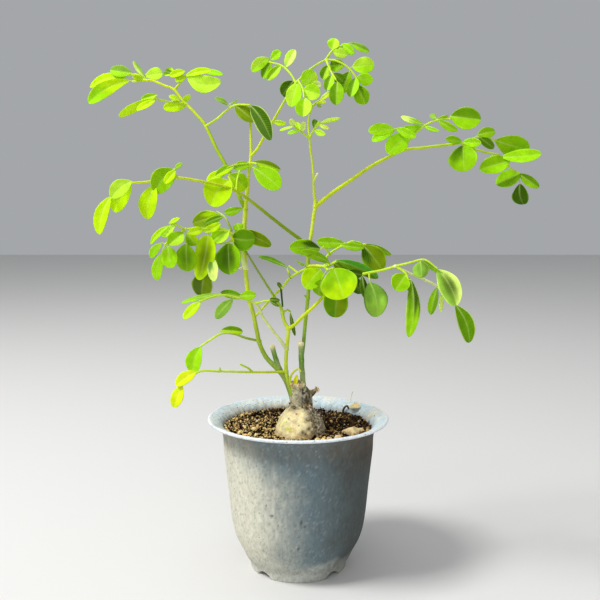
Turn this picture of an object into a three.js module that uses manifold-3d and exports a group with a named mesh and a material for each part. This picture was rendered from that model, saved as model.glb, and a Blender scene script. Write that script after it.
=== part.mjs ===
// Potted moringa tree: a bell-shaped plastic pot, potting mix with loose stones, a swollen pruned trunk,
// three stems and the compound leaves that grow from them. Millimetres, +Z up, the front towards -Y.
import * as THREE from "three";
import { mergeVertices } from "three/addons/utils/BufferGeometryUtils.js";
import Module from "manifold-3d";

const wasm = await Module();
wasm.setup();

// Driving sizes of the pot
const POT_HEIGHT = 89.1;
const LIP_RADIUS = 52.5;
const FOOT_RADIUS = 28;
const FOOT_BAND = 4.5;
const FOOT_RING = 2.6;
const FLOOR_UNDERSIDE = 3.5;
const FLOOR_TOP = 5.5;
const NOTCH_WIDTH = 10;
const NOTCH_HEIGHT = 3;
const DRAIN_RADIUS = 3;
const DRAIN_CIRCLE = 14;
const DRAIN_COUNT = 6;
const POT_SIDES = 32;

// Driving sizes of what stands in the pot
const GAP = 0.3;
const SOIL_LEVEL = 81;
const SOIL_RADIUS = 42.1;
const SOIL_SIDES = 24;
const SOIL_RINGS = 7;
const CRUMB_HEIGHT = 1.1;
const BLADE_THICKNESS = 0.65;
const STALK_HALF_WIDTH = 0.45;
const THINNEST_TWIG = 0.45;
const SLIVER = 0.1;

// The plant was measured on the upright plane through the pot's axis, as seen from an eye in front of it.
// A point is (across, up) on that plane, and its depth is how far it stands in front of the plane.
const EYE = new THREE.Vector3(1, -475, 212);

function seen(across, up, depth) {
  const onPlane = new THREE.Vector3(across, 0, up);
  return onPlane.lerp(EYE, depth / -EYE.y);
}

// Stems: each point is across, up, depth and radius.
const STEMS = {
  stem_left: [
    {
      points: [
        [-3.4, 98.5, 6.4, 1.5], [-4.4, 102.5, 6.2, 1.5], [-5.6, 106.2, 5.8, 1.5], [-8.5, 112.4, 5.3, 1.5],
        [-13.2, 118, 4.9, 1.4], [-18.1, 122.7, 4.4, 1.3], [-22.3, 130, 3.8, 1.2], [-24.7, 140, 3, 1.15],
        [-26.7, 150, 2.2, 1.1], [-28.6, 156.5, 1.6, 1.1], [-30, 168.6, 0.8, 1.1], [-31, 184.2, 0, 1.1],
        [-30.9, 197, -1, 1.12], [-30.2, 208.7, -2, 1.15], [-29, 219, -2.6, 1], [-27.8, 230, -3.4, 0.9],
        [-26.5, 240, -4.2, 0.85], [-26.5, 246, -4.8, 0.75], [-27, 264, -6.5, 0.6],
      ],
    },
    { points: [[-8.5, 112.4, 5.3, 1.4], [-11, 117.4, 4.8, 1.4], [-13.5, 124, 4, 1.35], [-15.4, 131, 3.2, 1.35]] },
    { points: [[-30.4, 176.4, 0.4, 0.5], [-33.5, 175, 1.4, 0.5]] },
  ],
  stem_middle: [
    {
      points: [
        [-4.6, 103, 8.8, 0.8], [-6.3, 109.5, 8.2, 0.8], [-7.2, 115.7, 7.8, 0.8], [-7, 126, 7.2, 0.95],
        [-6.1, 134.4, 6.6, 1], [-5.8, 140.1, 6.2, 1.05], [-7.8, 144.1, 6, 0.95], [-10.1, 152.8, 5.6, 0.85],
        [-13.1, 157.9, 5.3, 0.7], [-20.1, 169, 5, 0.6], [-24.5, 176, 4.8, 0.55], [-29.6, 184.5, 4.8, 0.5],
        [-34, 190.2, 5.4, 0.5],
      ],
    },
  ],
  stem_right: [
    {
      points: [
        [3.4, 102, 6, 1.5], [2.9, 108, 6, 1.45], [2.2, 115.8, 5.8, 1.45], [1.7, 126, 5.4, 1.45],
        [1.5, 131.6, 5.2, 1.4],
      ],
    },
    {
      points: [
        [2, 123, 4.6, 1], [3.1, 132, 3.4, 1], [3.7, 140, 3.4, 1], [4.7, 150, 3.5, 1], [5.8, 162, 3.6, 1],
        [5.6, 176.7, 4, 1.1], [5.6, 181.7, 4, 1], [7.8, 197.2, 3.6, 0.95], [8.8, 205.2, 3.2, 0.95],
        [9.6, 209.7, 3, 1.05], [8.8, 220, 2.2, 0.7], [8.4, 230, 1.4, 0.6], [6.3, 248.4, 0, 0.6],
        [6, 260, -1.6, 0.5], [8.3, 266.5, -2.6, 0.45],
      ],
    },
    { points: [[5.7, 158, 3.5, 0.7], [3.7, 159.6, 4, 0.5]] },
    { points: [[8.6, 223.5, 2, 0.5], [9.3, 225.7, 2.6, 0.5], [10.9, 228.9, 4, 0.45]] },
  ],
};

// A twig starts on the twig before it in its frond, and its tip stands `nearer` millimetres in front of its
// start. Its radius thins from the first value to the second.
const twig = (nearer, thick, thin, points) => ({ nearer, thick, thin, points });

// A leaflet is [base across, base up, tip across, tip up, width, nearer, roll, bow]: its tip stands `nearer`
// millimetres in front of its base, `roll` degrees turn it about its own length, and `bow` is how far its
// middle curves out to the right-hand side, looking from its base to its tip.
const FRONDS = [
  {
    name: "frond_top_left",
    stem: "stem_left",
    twigs: [
      twig(-34, 0.75, 0.45, [
        [-30.8, 209], [-33, 215], [-36.5, 224], [-42, 234.5], [-47.3, 244], [-50.8, 252], [-53, 256.5],
        [-58, 262.5], [-66, 271], [-69, 275], [-75, 277.5], [-81, 280], [-92, 279.5],
      ]),
      twig(9, 0.5, 0.45, [[-52.3, 255], [-45, 260], [-40, 264.5], [-36.5, 266.7], [-27, 266.8]]),
      twig(10, 0.5, 0.45, [[-62.5, 266.5], [-66, 267.8], [-72, 268.3], [-80.5, 270.3]]),
      twig(-10, 0.5, 0.45, [[-69, 275], [-66.3, 278.2], [-62.3, 283], [-56, 283.6]]),
      twig(-5, 0.45, 0.45, [[-84, 280], [-90, 283.4], [-94.5, 283]]),
    ],
    leaflets: [
      [-39.2, 266.8, -46.5, 270.5, 4.5, 3, 50],
      [-38.4, 267.2, -33.3, 269.8, 3, -3, 70],
      [-35.5, 266.3, -25.3, 257, 6, 4, 20],
      [-26.5, 266, -15.5, 248, 7, 6, -25, -1],
      [-79.6, 269.4, -90.3, 263.7, 4.6, 8, 30],
      [-81.4, 270.2, -100.3, 260.5, 5.5, -4, -20],
      [-79, 271.4, -88.2, 268.8, 3, -6, 20],
      [-64, 266, -75.3, 264.4, 6, 8, -15],
      [-66, 268.8, -72, 271.6, 4, -3, 62],
      [-64.3, 268.8, -60.3, 272.2, 3, 4, 20],
      [-67.4, 281.6, -73.5, 286.5, 5.5, -5, 25],
      [-63.8, 283.6, -70.8, 282, 3.6, 4, 40],
      [-62.5, 283.5, -49.5, 286.8, 4, -5, 45],
      [-56, 284, -42.2, 283.3, 3.8, 3, 50],
      [-62, 281.8, -52.5, 273.5, 6.5, -6, -20],
      [-57.5, 281.5, -43, 278.2, 9.6, 6, 15],
      [-86.5, 282.5, -75.6, 284, 6.6, -6, 20],
      [-84.5, 281.5, -91.7, 290.5, 5, -4, 60],
      [-93, 284, -103.5, 285.5, 6, -5, 15],
      [-95, 282, -116, 277, 6, -6, 20, 2.5],
      [-93.5, 280, -114.5, 268, 8, 7, 10, 3],
      [-32.4, 211, -41.8, 207.3, 3.4, -3, 30, -1.4],
    ],
  },
  {
    name: "frond_top",
    stem: "stem_left",
    twigs: [
      twig(12, 0.6, 0.45, [
        [-26.3, 238.5], [-24.9, 240.2], [-19.2, 249.2], [-14.7, 256.8], [-7, 270], [-2, 278], [2, 282],
        [6.5, 286], [10, 288.5], [15.3, 291.3],
      ]),
      twig(-9, 0.45, 0.45, [[15.3, 291.3], [19.3, 296.5], [24.3, 299], [28, 300]]),
      twig(5, 0.45, 0.45, [[15.3, 291.3], [20, 291], [27.5, 287.3], [31.8, 282.3], [33.8, 278]]),
      twig(12, 0.45, 0.45, [[15.5, 291], [18, 285.5], [21, 280.5]]),
      twig(-12, 0.45, 0.45, [[-1.5, 279], [-4.5, 284], [-9, 288], [-17.5, 290.3]]),
      twig(8, 0.45, 0.45, [[0.3, 279.8], [2.8, 275], [3.2, 270.8]]),
    ],
    leaflets: [
      [-14.3, 257.4, -6.8, 256.6, 2.7, 4, 20],
      [19.3, 297, 21.3, 303.3, 6.4, -3, 20],
      [19.3, 295.8, 27, 293.7, 5, -6, 10],
      [24.3, 299.5, 31.3, 294.8, 4.8, 4, 25],
      [28, 300, 38.8, 295.2, 4, -4, 55],
      [25.8, 288.8, 18, 288, 6, -5, 20],
      [30.2, 286.6, 42.2, 288.5, 8, -5, 15],
      [28, 285, 24.5, 274, 7.5, -5, 25],
      [32, 281.5, 29.5, 271.5, 6.5, 5, 30],
      [33, 281.4, 41.5, 279.5, 5.8, -3, 20],
      [33.8, 277.5, 36.5, 267.2, 8.5, 3, 15],
      [17, 288.3, 13.8, 280.8, 5.8, -4, 25],
      [18.8, 283, 16.5, 275, 5, 4, -25],
      [19.4, 284, 24.5, 281, 5, 6, 15],
      [21.5, 280, 21.3, 266.8, 7.5, 4, 20],
      [-6.3, 287, -0.8, 296.8, 5.4, -4, 20],
      [-9.5, 287.5, -16.8, 280.5, 4.5, 4, 20],
      [-15.8, 289.6, -20.3, 281.3, 5.5, -5, 25],
      [-17.3, 290.4, -25.3, 286, 5, 3, 20],
      [-13, 290.2, -15, 295.5, 3.6, -3, 20],
      [-11.6, 290, -10.3, 296.5, 3, 3, 20],
      [-2.5, 279.8, -8.8, 272, 8.5, -6, 15],
      [-0.9, 278.8, -4.3, 265.6, 6.5, 5, -15],
      [3, 277.5, 9, 285, 8, -5, 20],
      [3.4, 275, 12, 273, 7.5, 4, 15],
      [7, 277.6, 12.7, 277.5, 4, -4, 15],
      [3.6, 270.6, 2.8, 260.3, 9.4, 4, 12],
    ],
  },
  {
    name: "frond_apex",
    stem: "stem_right",
    twigs: [twig(-3, 0.45, 0.45, [[8.3, 266.5], [10, 268], [12, 269]])],
    leaflets: [
      [12, 269, 18.8, 274.2, 2.6, -3, 20],
      [10, 267.4, 15.5, 268.7, 1.8, 3, 20],
      [10.4, 267.2, 12.8, 265.6, 1.6, 3, 20],
    ],
  },
  {
    name: "frond_apex_left",
    stem: "stem_right",
    twigs: [twig(5, 0.45, 0.45, [[6.2, 248.5], [2.1, 251.6], [-2.4, 254.9]])],
    leaflets: [
      [0.5, 252.4, -6, 250.9, 2.4, 3, 20],
      [1.2, 253, -1.2, 257.3, 3.2, -3, 20],
      [2.2, 252, 3.2, 257.8, 3.2, 4, 20],
      [-2.6, 255.4, -4.3, 259, 3.6, 3, 20],
      [-2.8, 254.8, -10.6, 252.6, 1.8, -3, 20],
    ],
  },
  {
    name: "frond_apex_right",
    stem: "stem_right",
    twigs: [twig(5, 0.45, 0.45, [[6.4, 248.6], [8.8, 253], [12, 256.5]])],
    leaflets: [
      [8.8, 253.9, 9.5, 258.8, 4, -3, 20],
      [12.4, 257, 23.6, 259.3, 2.6, -4, 20],
      [11.5, 255.8, 17.3, 253.8, 2.6, 3, 20],
      [9, 252.6, 15.2, 250.6, 3.8, 4, 20],
    ],
  },
  {
    name: "frond_left_high",
    stem: "stem_right",
    twigs: [
      twig(34, 0.8, 0.5, [
        [6.2, 187], [2.4, 190.8], [-4.7, 196], [-15, 204], [-25, 212], [-32.5, 217.5], [-36, 219.5],
        [-40, 221], [-56, 224.7], [-68.5, 226.5], [-84.3, 224.3], [-93.5, 223.6],
      ]),
      twig(-3, 0.45, 0.45, [[-36, 219.5], [-38.5, 225.5], [-39.3, 227]]),
      twig(-5, 0.45, 0.45, [[-35, 219], [-34.5, 225], [-33, 230.3]]),
      twig(-3, 0.45, 0.45, [[-68.3, 226.5], [-69.8, 229.5], [-69.3, 231.5]]),
    ],
    leaflets: [
      [-38.6, 225, -49.4, 211, 14.5, 9, 10, 1.6],
      [-37.2, 225.6, -29.5, 219, 8, -4, 15],
      [-93.7, 224, -105, 215, 8.5, 6, 15, 0.8],
      [-94, 223, -103.8, 207.5, 9.5, -3, 15, 0.8],
      [-99, 217.4, -113.2, 194.8, 6.6, 8, 20, 2.4],
      [-70.6, 229, -81.5, 220.5, 9, 8, 15],
      [-69.4, 226.5, -75, 222.4, 4, -6, 20],
      [-69.8, 231.6, -64.8, 234.3, 1.8, -2, 20],
      [-82, 223.6, -86, 203.7, 9, 3, 15, 1.6],
    ],
  },
  {
    name: "frond_upper_left",
    stem: "stem_left",
    twigs: [twig(7, 0.5, 0.45, [[-27.2, 234.4], [-36, 233.4], [-40, 232]])],
    leaflets: [
      [-29.6, 234, -36.4, 231.4, 4.4, 5, 20],
      [-37.4, 233, -51, 225.5, 5, 6, 20],
      [-36.5, 233.3, -46, 228.5, 4, -4, 20],
    ],
  },
  {
    name: "frond_upper_right",
    stem: "stem_left",
    twigs: [twig(3, 0.5, 0.45, [[-26.9, 234.4], [-24.6, 234.6], [-23.4, 234.2]])],
    leaflets: [
      [-23.4, 235, -10.2, 230.6, 5, -5, 55],
      [-23.2, 233.6, -11.8, 220.4, 10.5, 8, 12, -0.8],
    ],
  },
  {
    name: "frond_left_cluster",
    stem: "stem_left",
    twigs: [
      twig(9, 0.6, 0.5, [[-31.2, 185.2], [-35.8, 188.7], [-37.6, 191.5], [-38, 196.5]]),
      twig(14, 0.5, 0.45, [[-38, 194.4], [-40, 196], [-48, 197], [-60, 198], [-64, 197.6], [-69.5, 200.3]]),
      twig(4, 0.45, 0.45, [[-64, 197.6], [-70, 193.6], [-75.8, 189]]),
      twig(-3, 0.45, 0.45, [[-38, 196.5], [-39.5, 200.5], [-42.7, 204.6], [-45, 206.5]]),
      twig(6, 0.45, 0.45, [[-37.6, 191.5], [-41, 189.5], [-46.5, 189.5], [-51, 188]]),
    ],
    leaflets: [
      [-39.8, 189.2, -39.6, 171.7, 14.6, 6, 8],
      [-49.8, 180.3, -49.2, 167, 5.8, 2, 20],
      [-39.8, 195.5, -48.5, 190.5, 7.5, -5, 20],
      [-54, 197.7, -44.5, 200.5, 3, -5, 20],
      [-69.4, 200.6, -74.4, 203.8, 2.4, -3, 20],
      [-68.4, 199.8, -77.3, 193.6, 4.2, -6, 20],
      [-70, 200, -83.8, 189.3, 4, -3, 60],
      [-65, 196.6, -73.3, 188.3, 7.5, 7, 20],
      [-64, 197, -55, 195.4, 3.5, -4, 20],
      [-63.4, 196.6, -58, 189.5, 5, -4, 20],
      [-76, 188.6, -84.8, 181.2, 3, -4, 20],
      [-76.4, 187, -81.5, 168.4, 5.4, -5, 20, 1.2],
      [-75.2, 188.4, -73.5, 175.6, 8.4, 4, 15],
      [-64.6, 190, -64.5, 173.6, 11, -5, 12],
      [-51, 190, -57, 169.7, 8, -5, 15],
      [-53, 176, -55, 158, 11, -2, 12, 0.6],
      [-45, 206.5, -59.3, 202.3, 8, 4, 20],
      [-42.7, 204.2, -53, 200.4, 3.6, -5, 20],
    ],
  },
  {
    name: "frond_centre",
    stem: "stem_middle",
    twigs: [twig(2, 0.5, 0.5, [[-34, 190.2], [-36, 192], [-36.6, 194.4]])],
    leaflets: [
      [-37, 191, -24.7, 190.4, 11.5, 4, 8, 0.8],
      [-34.6, 193.8, -15.6, 188.5, 6, -1, 50, 1.4],
      [-36.4, 195.2, -33.8, 200, 2.8, -2, 20],
    ],
  },
  {
    name: "frond_low_left",
    stem: "stem_left",
    twigs: [
      twig(-16, 0.55, 0.5, [
        [-24.2, 132.9], [-29.5, 134.8], [-38, 137.6], [-44.5, 137.5], [-49.8, 134.5], [-56, 130.4],
      ]),
    ],
    leaflets: [
      [-44.6, 139.6, -32, 138.6, 5.3, -4, 20],
      [-56.2, 130.1, -61, 114, 8.8, -3, 15, 1.8],
    ],
  },
  {
    name: "frond_low_front",
    stem: "stem_middle",
    twigs: [
      twig(20, 0.55, 0.5, [
        [-7.2, 115.3], [-12.8, 115.1], [-28, 115.4], [-45.6, 116], [-57.7, 115.5], [-64, 111], [-67.5, 108],
      ]),
      twig(5, 0.45, 0.45, [[-26.5, 115.4], [-28, 116.5], [-33.5, 119.5]]),
      twig(1, 0.45, 0.45, [[-45.5, 116], [-45.5, 117.6]]),
    ],
    leaflets: [
      [-58.5, 115.3, -70.5, 107, 7, 5, 15, 0.5],
      [-67.5, 107.4, -72.5, 94, 7, 3, 15],
    ],
  },
  {
    name: "frond_low_middle",
    stem: "stem_middle",
    twigs: [
      twig(26, 0.6, 0.45, [
        [-6.9, 128.3], [-10.1, 133.4], [-16.1, 141.1], [-20.1, 146.8], [-24.6, 155], [-26.5, 156.2],
        [-35.8, 158.5], [-41.8, 159.8], [-47.5, 159.2], [-56.3, 156.3],
      ]),
      twig(4, 0.45, 0.45, [[-24.6, 155], [-20, 156.3], [-16.4, 156.7]]),
    ],
    leaflets: [
      [-56.3, 156.2, -65.2, 147, 5.2, 5, 20, 0.8],
      [-37.8, 158, -46.9, 146.9, 6.5, 5, 20, 0.8],
      [-44.8, 160.6, -66.3, 155.9, 5, -6, 60, 0.8],
      [-30, 157.8, -45, 161.8, 4, -5, 20],
      [-30, 158, -24.3, 160.6, 5, 3, 20],
      [-16.4, 156.8, -10.6, 152.6, 3, 2, 20],
      [-16.6, 157.4, -10.6, 157, 3, 3, 20],
    ],
  },
  {
    name: "frond_back_left",
    stem: "stem_right",
    twigs: [
      twig(-14, 0.6, 0.5, [
        [5.2, 175.5], [3, 174.2], [-4.4, 169.9], [-9.5, 164], [-13.4, 160.2], [-16.4, 156.9], [-24.4, 147.9],
      ]),
      twig(-5, 0.45, 0.45, [[0, 172.6], [-5.2, 176.5]]),
      twig(-3, 0.45, 0.45, [[-4.4, 169.9], [-6.2, 174.8]]),
      twig(-3, 0.45, 0.45, [[-9.8, 163.5], [-9, 153.5]]),
    ],
    leaflets: [
      [-6, 175.5, -22.6, 182, 5, -6, 55],
      [-9.4, 164, -11, 168, 2.5, 2, 20],
    ],
  },
  {
    name: "frond_thin",
    stem: "stem_middle",
    twigs: [twig(-6, 0.45, 0.45, [[-8.8, 149.4], [-6.1, 151.4], [-4.6, 150.3]])],
    leaflets: [[-4.6, 150, -1.8, 136.2, 2.6, -3, 20]],
  },
  {
    name: "frond_centre_right",
    stem: "stem_right",
    twigs: [
      twig(16, 0.8, 0.6, [[5.6, 176.4], [10.2, 176.6], [16.8, 176.6], [21.4, 179]]),
      twig(1, 0.5, 0.45, [
        [17, 176.8], [16.3, 181.7], [20.8, 185.7], [27, 189], [30.6, 190.6], [36.4, 188.7], [38.5, 189],
      ]),
      twig(3, 0.45, 0.45, [[18.2, 183.6], [14.4, 187.7]]),
      twig(22, 0.6, 0.5, [[15, 176.8], [17, 173], [19.6, 172.4]]),
    ],
    leaflets: [
      [12.8, 186.8, -4.8, 186, 7, 8, 12],
      [16.8, 178.4, 2, 184, 4.2, 2, 20],
      [26, 189.6, 11, 190, 5.8, -6, 20],
      [22, 179.4, 45.5, 170.2, 7, -8, 50],
      [11, 176, 4.7, 164, 11.5, 9, 12, 0.6],
      [14, 174.6, 11.5, 160.2, 8, 2, 15],
      [19.8, 174.6, 27, 157.6, 18, 5, 6],
      [20.6, 168, 20.6, 147, 13.4, -5, 10, -0.6],
      [20.6, 178.4, 28.4, 173.2, 4.5, -5, 20],
      [38.4, 188, 49.5, 176.2, 10.6, 3, 15, -1.6],
      [37.6, 189, 53, 183.3, 4.5, -5, 60],
    ],
  },
  {
    name: "frond_low_right",
    stem: "stem_middle",
    twigs: [
      twig(28, 0.75, 0.6, [
        [-5.8, 140.3], [-2.5, 142.4], [2.2, 147.1], [11.4, 155.7], [16.2, 161], [23, 166], [30.6, 170],
        [36.4, 171.8], [49.3, 174.5], [55.5, 176.4],
      ]),
      twig(8, 0.5, 0.45, [[55.5, 176.4], [64, 178.5], [71.8, 180.2], [79.4, 175]]),
      twig(-8, 0.55, 0.45, [[55.5, 176.2], [63, 172.6], [69.7, 169.9], [79.3, 165], [90.3, 154.2]]),
      twig(2, 0.5, 0.5, [[40.5, 172.6], [40.5, 168]]),
      twig(5, 0.5, 0.5, [[55.6, 176.2], [61.6, 172], [63, 168.5]]),
    ],
    leaflets: [
      [40.5, 168, 45, 147.2, 13, 5, 10, -1.6],
      [37.4, 170.8, 38.7, 157.8, 3.4, -6, 20],
      [31.4, 169.6, 33.8, 160.5, 6, -6, 20],
      [61.6, 171.8, 55.5, 162.8, 10.5, 5, 10],
      [62.2, 171.5, 66, 158.5, 3.5, -6, 20],
      [63.6, 165, 63.8, 135.5, 7.5, 6, 20, -2.6],
      [69.9, 179.2, 70.5, 169.8, 9.2, 4, 15],
      [71.6, 180, 84, 171.3, 4.5, 4, 60],
      [79.8, 174.5, 91, 153.8, 12.5, 7, 12, -1.8],
      [90.4, 154, 98.8, 132.3, 9, 5, 15, -3],
      [79.5, 164.3, 76.2, 148.5, 5, 4, 20],
      [82.6, 161.6, 81.9, 150, 2.8, -3, 20],
    ],
  },
  {
    name: "frond_right",
    stem: "stem_right",
    twigs: [
      twig(-36, 0.85, 0.5, [
        [9.7, 210.2], [20, 218.5], [29.8, 225.2], [40.1, 232.3], [50.1, 237.7], [59.5, 241.9], [70.1, 243.2],
        [85.3, 244.9], [92.2, 245.5], [96.1, 243.5], [105.6, 240.6], [114.3, 238.2], [118.3, 233],
        [124.4, 228.3],
      ]),
      twig(14, 0.5, 0.45, [
        [57.6, 241.5], [61.8, 246.8], [67, 252.5], [73.5, 256.8], [79.5, 258.8], [85, 259],
      ]),
      twig(5, 0.45, 0.45, [[64, 249.2], [60, 252], [54.2, 253.3]]),
      twig(-6, 0.45, 0.45, [[92.5, 245.5], [100.9, 249], [110.8, 247.3]]),
    ],
    leaflets: [
      [54, 253.5, 39.6, 253.2, 6.6, 5, 20],
      [54.4, 252.8, 42.3, 246.8, 5, -4, 20],
      [55, 253.8, 66.3, 249.4, 5.6, 6, 20],
      [56, 253.6, 69.6, 254, 4.8, -5, 20],
      [70.5, 255.8, 57.3, 260, 5, -4, 55],
      [70.3, 255, 79.2, 252.3, 2.7, 4, 20],
      [77.4, 258.8, 74.4, 262, 2.8, -2, 20],
      [78.3, 258.2, 89.3, 252.6, 4.8, 4, 20],
      [60.2, 250.9, 52, 239.8, 10.8, 9, 10],
      [85.3, 259, 102, 256, 11.5, 6, 12],
      [92, 246.4, 82.7, 248, 4.7, 5, 20],
      [93.4, 245.8, 102.8, 244.8, 5.3, 8, 20],
      [101.5, 248.7, 110, 242.6, 4, -5, 20],
      [101.3, 249.6, 110.6, 251.4, 5.6, -4, 20],
      [111, 247.3, 129.3, 242.5, 12, 6, 12],
      [115, 237.8, 136.3, 239.6, 5.8, -6, 20],
      [116.4, 236.3, 102.6, 230.5, 8, 6, 15],
      [92.6, 244.3, 93.8, 229.8, 17, 4, 6],
      [123, 228.8, 111.5, 223.6, 7.5, 4, 15],
      [124.3, 228.5, 135.2, 220.9, 5, 4, 20],
      [124.6, 227.6, 123.5, 211.4, 9, -4, 15],
    ],
  },
];

// Loose stones on the soil: across and towards the front from the pot's axis, length, width and height
const PEBBLES = [
  [30.2, 10.4, 9, 6.4, 5],
  [22.2, 19.8, 4.6, 3.8, 3.2],
  [36.4, 5.2, 4.2, 3.6, 3],
  [32.8, 2, 4.2, 3.4, 3],
];

// Finishes
const finish = (color, roughness) => new THREE.MeshStandardMaterial({ color, roughness, metalness: 0 });
const POT_PLASTIC = "#9fb0b8";
const POTTING_MIX = "#3d2c20";
const STONE = "#b09878";
const BARK = "#c9ad84";
const GREEN_STEM = "#8fa63a";
const LEAF_GREEN = "#6fae2a";

// A closed three.js geometry as a solid that can be joined and cut
function solidFrom(geometry) {
  geometry.deleteAttribute("normal");
  geometry.deleteAttribute("uv");
  const merged = mergeVertices(geometry, 1e-4);
  return new wasm.Manifold(
    new wasm.Mesh({
      numProp: 3,
      vertProperties: merged.attributes.position.array,
      triVerts: new Uint32Array(merged.index.array),
    }),
  );
}

// A solid as a named mesh, without the slivers that joining leaves
function meshFrom(name, solid, color, roughness) {
  const { vertProperties, triVerts } = largestBody(solid.asOriginal().simplify(SLIVER)).getMesh();
  const geometry = new THREE.BufferGeometry();
  geometry.setAttribute("position", new THREE.BufferAttribute(vertProperties, 3));
  geometry.setIndex(new THREE.BufferAttribute(triVerts, 1));
  geometry.computeVertexNormals();
  const mesh = new THREE.Mesh(geometry, finish(color, roughness));
  mesh.name = name;
  return mesh;
}

// What is left of a grown piece after a cut: its one large body, without loose scraps
function largestBody(solid) {
  return solid.decompose().reduce((best, body) => (body.volume() > best.volume() ? body : best));
}

// A path through hand-placed points that has one step at each point
class PointPath extends THREE.Curve {
  constructor(points) {
    super();
    this.points = points;
  }

  getPoint(t, target = new THREE.Vector3()) {
    const place = THREE.MathUtils.clamp(t, 0, 1) * (this.points.length - 1);
    const index = Math.min(Math.floor(place), this.points.length - 2);
    return target.lerpVectors(this.points[index], this.points[index + 1], place - index);
  }

  getPointAt(t, target) {
    return this.getPoint(t, target);
  }

  getTangentAt(t, target) {
    return this.getTangent(t, target);
  }
}

// A round stem or twig through its points, with a radius of its own at each point. A clearance fattens it
// all round and past both ends.
function tube(traced, ownRadii, sides, clearance = 0) {
  const radii = ownRadii.map((radius) => radius + clearance);
  const points = traced.map((point) => point.clone());
  const stretch = (end, inner) => end.addScaledVector(end.clone().sub(inner).normalize(), clearance);
  stretch(points[0], points[1]);
  stretch(points.at(-1), points.at(-2));
  const corners = Array.from({ length: sides }, (_, k) => {
    const angle = (2 * Math.PI * k) / sides;
    return new THREE.Vector2(Math.cos(angle), Math.sin(angle)).multiplyScalar(radii[0]);
  });
  const geometry = new THREE.ExtrudeGeometry(new THREE.Shape(corners), {
    steps: points.length - 1,
    bevelEnabled: false,
    extrudePath: new PointPath(points),
  });
  const position = geometry.attributes.position;
  const vertex = new THREE.Vector3();
  for (let k = 0; k < position.count; k += 1) {
    vertex.fromBufferAttribute(position, k);
    const nearest = points.reduce(
      (best, point, index) => (point.distanceTo(vertex) < points[best].distanceTo(vertex) ? index : best),
      0,
    );
    vertex.sub(points[nearest]).multiplyScalar(radii[nearest] / radii[0]).add(points[nearest]);
    position.setXYZ(k, vertex.x, vertex.y, vertex.z);
  }
  return solidFrom(geometry);
}

// One stem with its side stubs, fattened by `clearance` where it is used to cut a seat for a leaf
function stemSolid(name, clearance = 0) {
  const sides = clearance > 0 ? 8 : 7;
  return STEMS[name]
    .map(({ points }) =>
      tube(
        points.map(([across, up, depth]) => seen(across, up, depth)),
        points.map((point) => point[3]),
        sides,
        clearance,
      ),
    )
    .reduce((whole, part) => whole.add(part));
}

// The place on traced lines that looks nearest to a point, with its depth
function nearestOnLines(lines, across, up) {
  let best = { distance: Infinity };
  for (const line of lines) {
    for (let k = 0; k + 1 < line.length; k += 1) {
      const [a0, u0, d0] = line[k];
      const [a1, u1, d1] = line[k + 1];
      const length2 = (a1 - a0) ** 2 + (u1 - u0) ** 2;
      const along = ((across - a0) * (a1 - a0) + (up - u0) * (u1 - u0)) / length2;
      const t = THREE.MathUtils.clamp(along, 0, 1);
      const place = [a0 + t * (a1 - a0), u0 + t * (u1 - u0), d0 + t * (d1 - d0)];
      const distance = Math.hypot(place[0] - across, place[1] - up);
      if (distance < best.distance) best = { distance, place };
    }
  }
  return best.place;
}

// A twig's points with their depths: it starts where it grows from and comes evenly nearer or further
function traceTwig({ points, nearer }, start) {
  const line = [start, ...points.slice(1)];
  const lengths = line.map((point, k) =>
    k === 0 ? 0 : Math.hypot(point[0] - line[k - 1][0], point[1] - line[k - 1][1]),
  );
  const total = lengths.reduce((sum, length) => sum + length);
  let travelled = 0;
  return line.map(([across, up], k) => {
    travelled += lengths[k];
    return [across, up, start[2] + (nearer * travelled) / total];
  });
}

// How wide a leaflet is at a place along it, as a share of its full width: egg-shaped, broader to the tip
const leafOutline = (along) => Math.sin(Math.PI * along ** 1.15) ** 0.7;

// Places along a leaflet where its outline has a point on each side
function leafStations(width) {
  if (width < 4) return [0.3, 0.72];
  return width < 9 ? [0.2, 0.5, 0.8] : [0.12, 0.32, 0.56, 0.8, 0.93];
}

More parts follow.
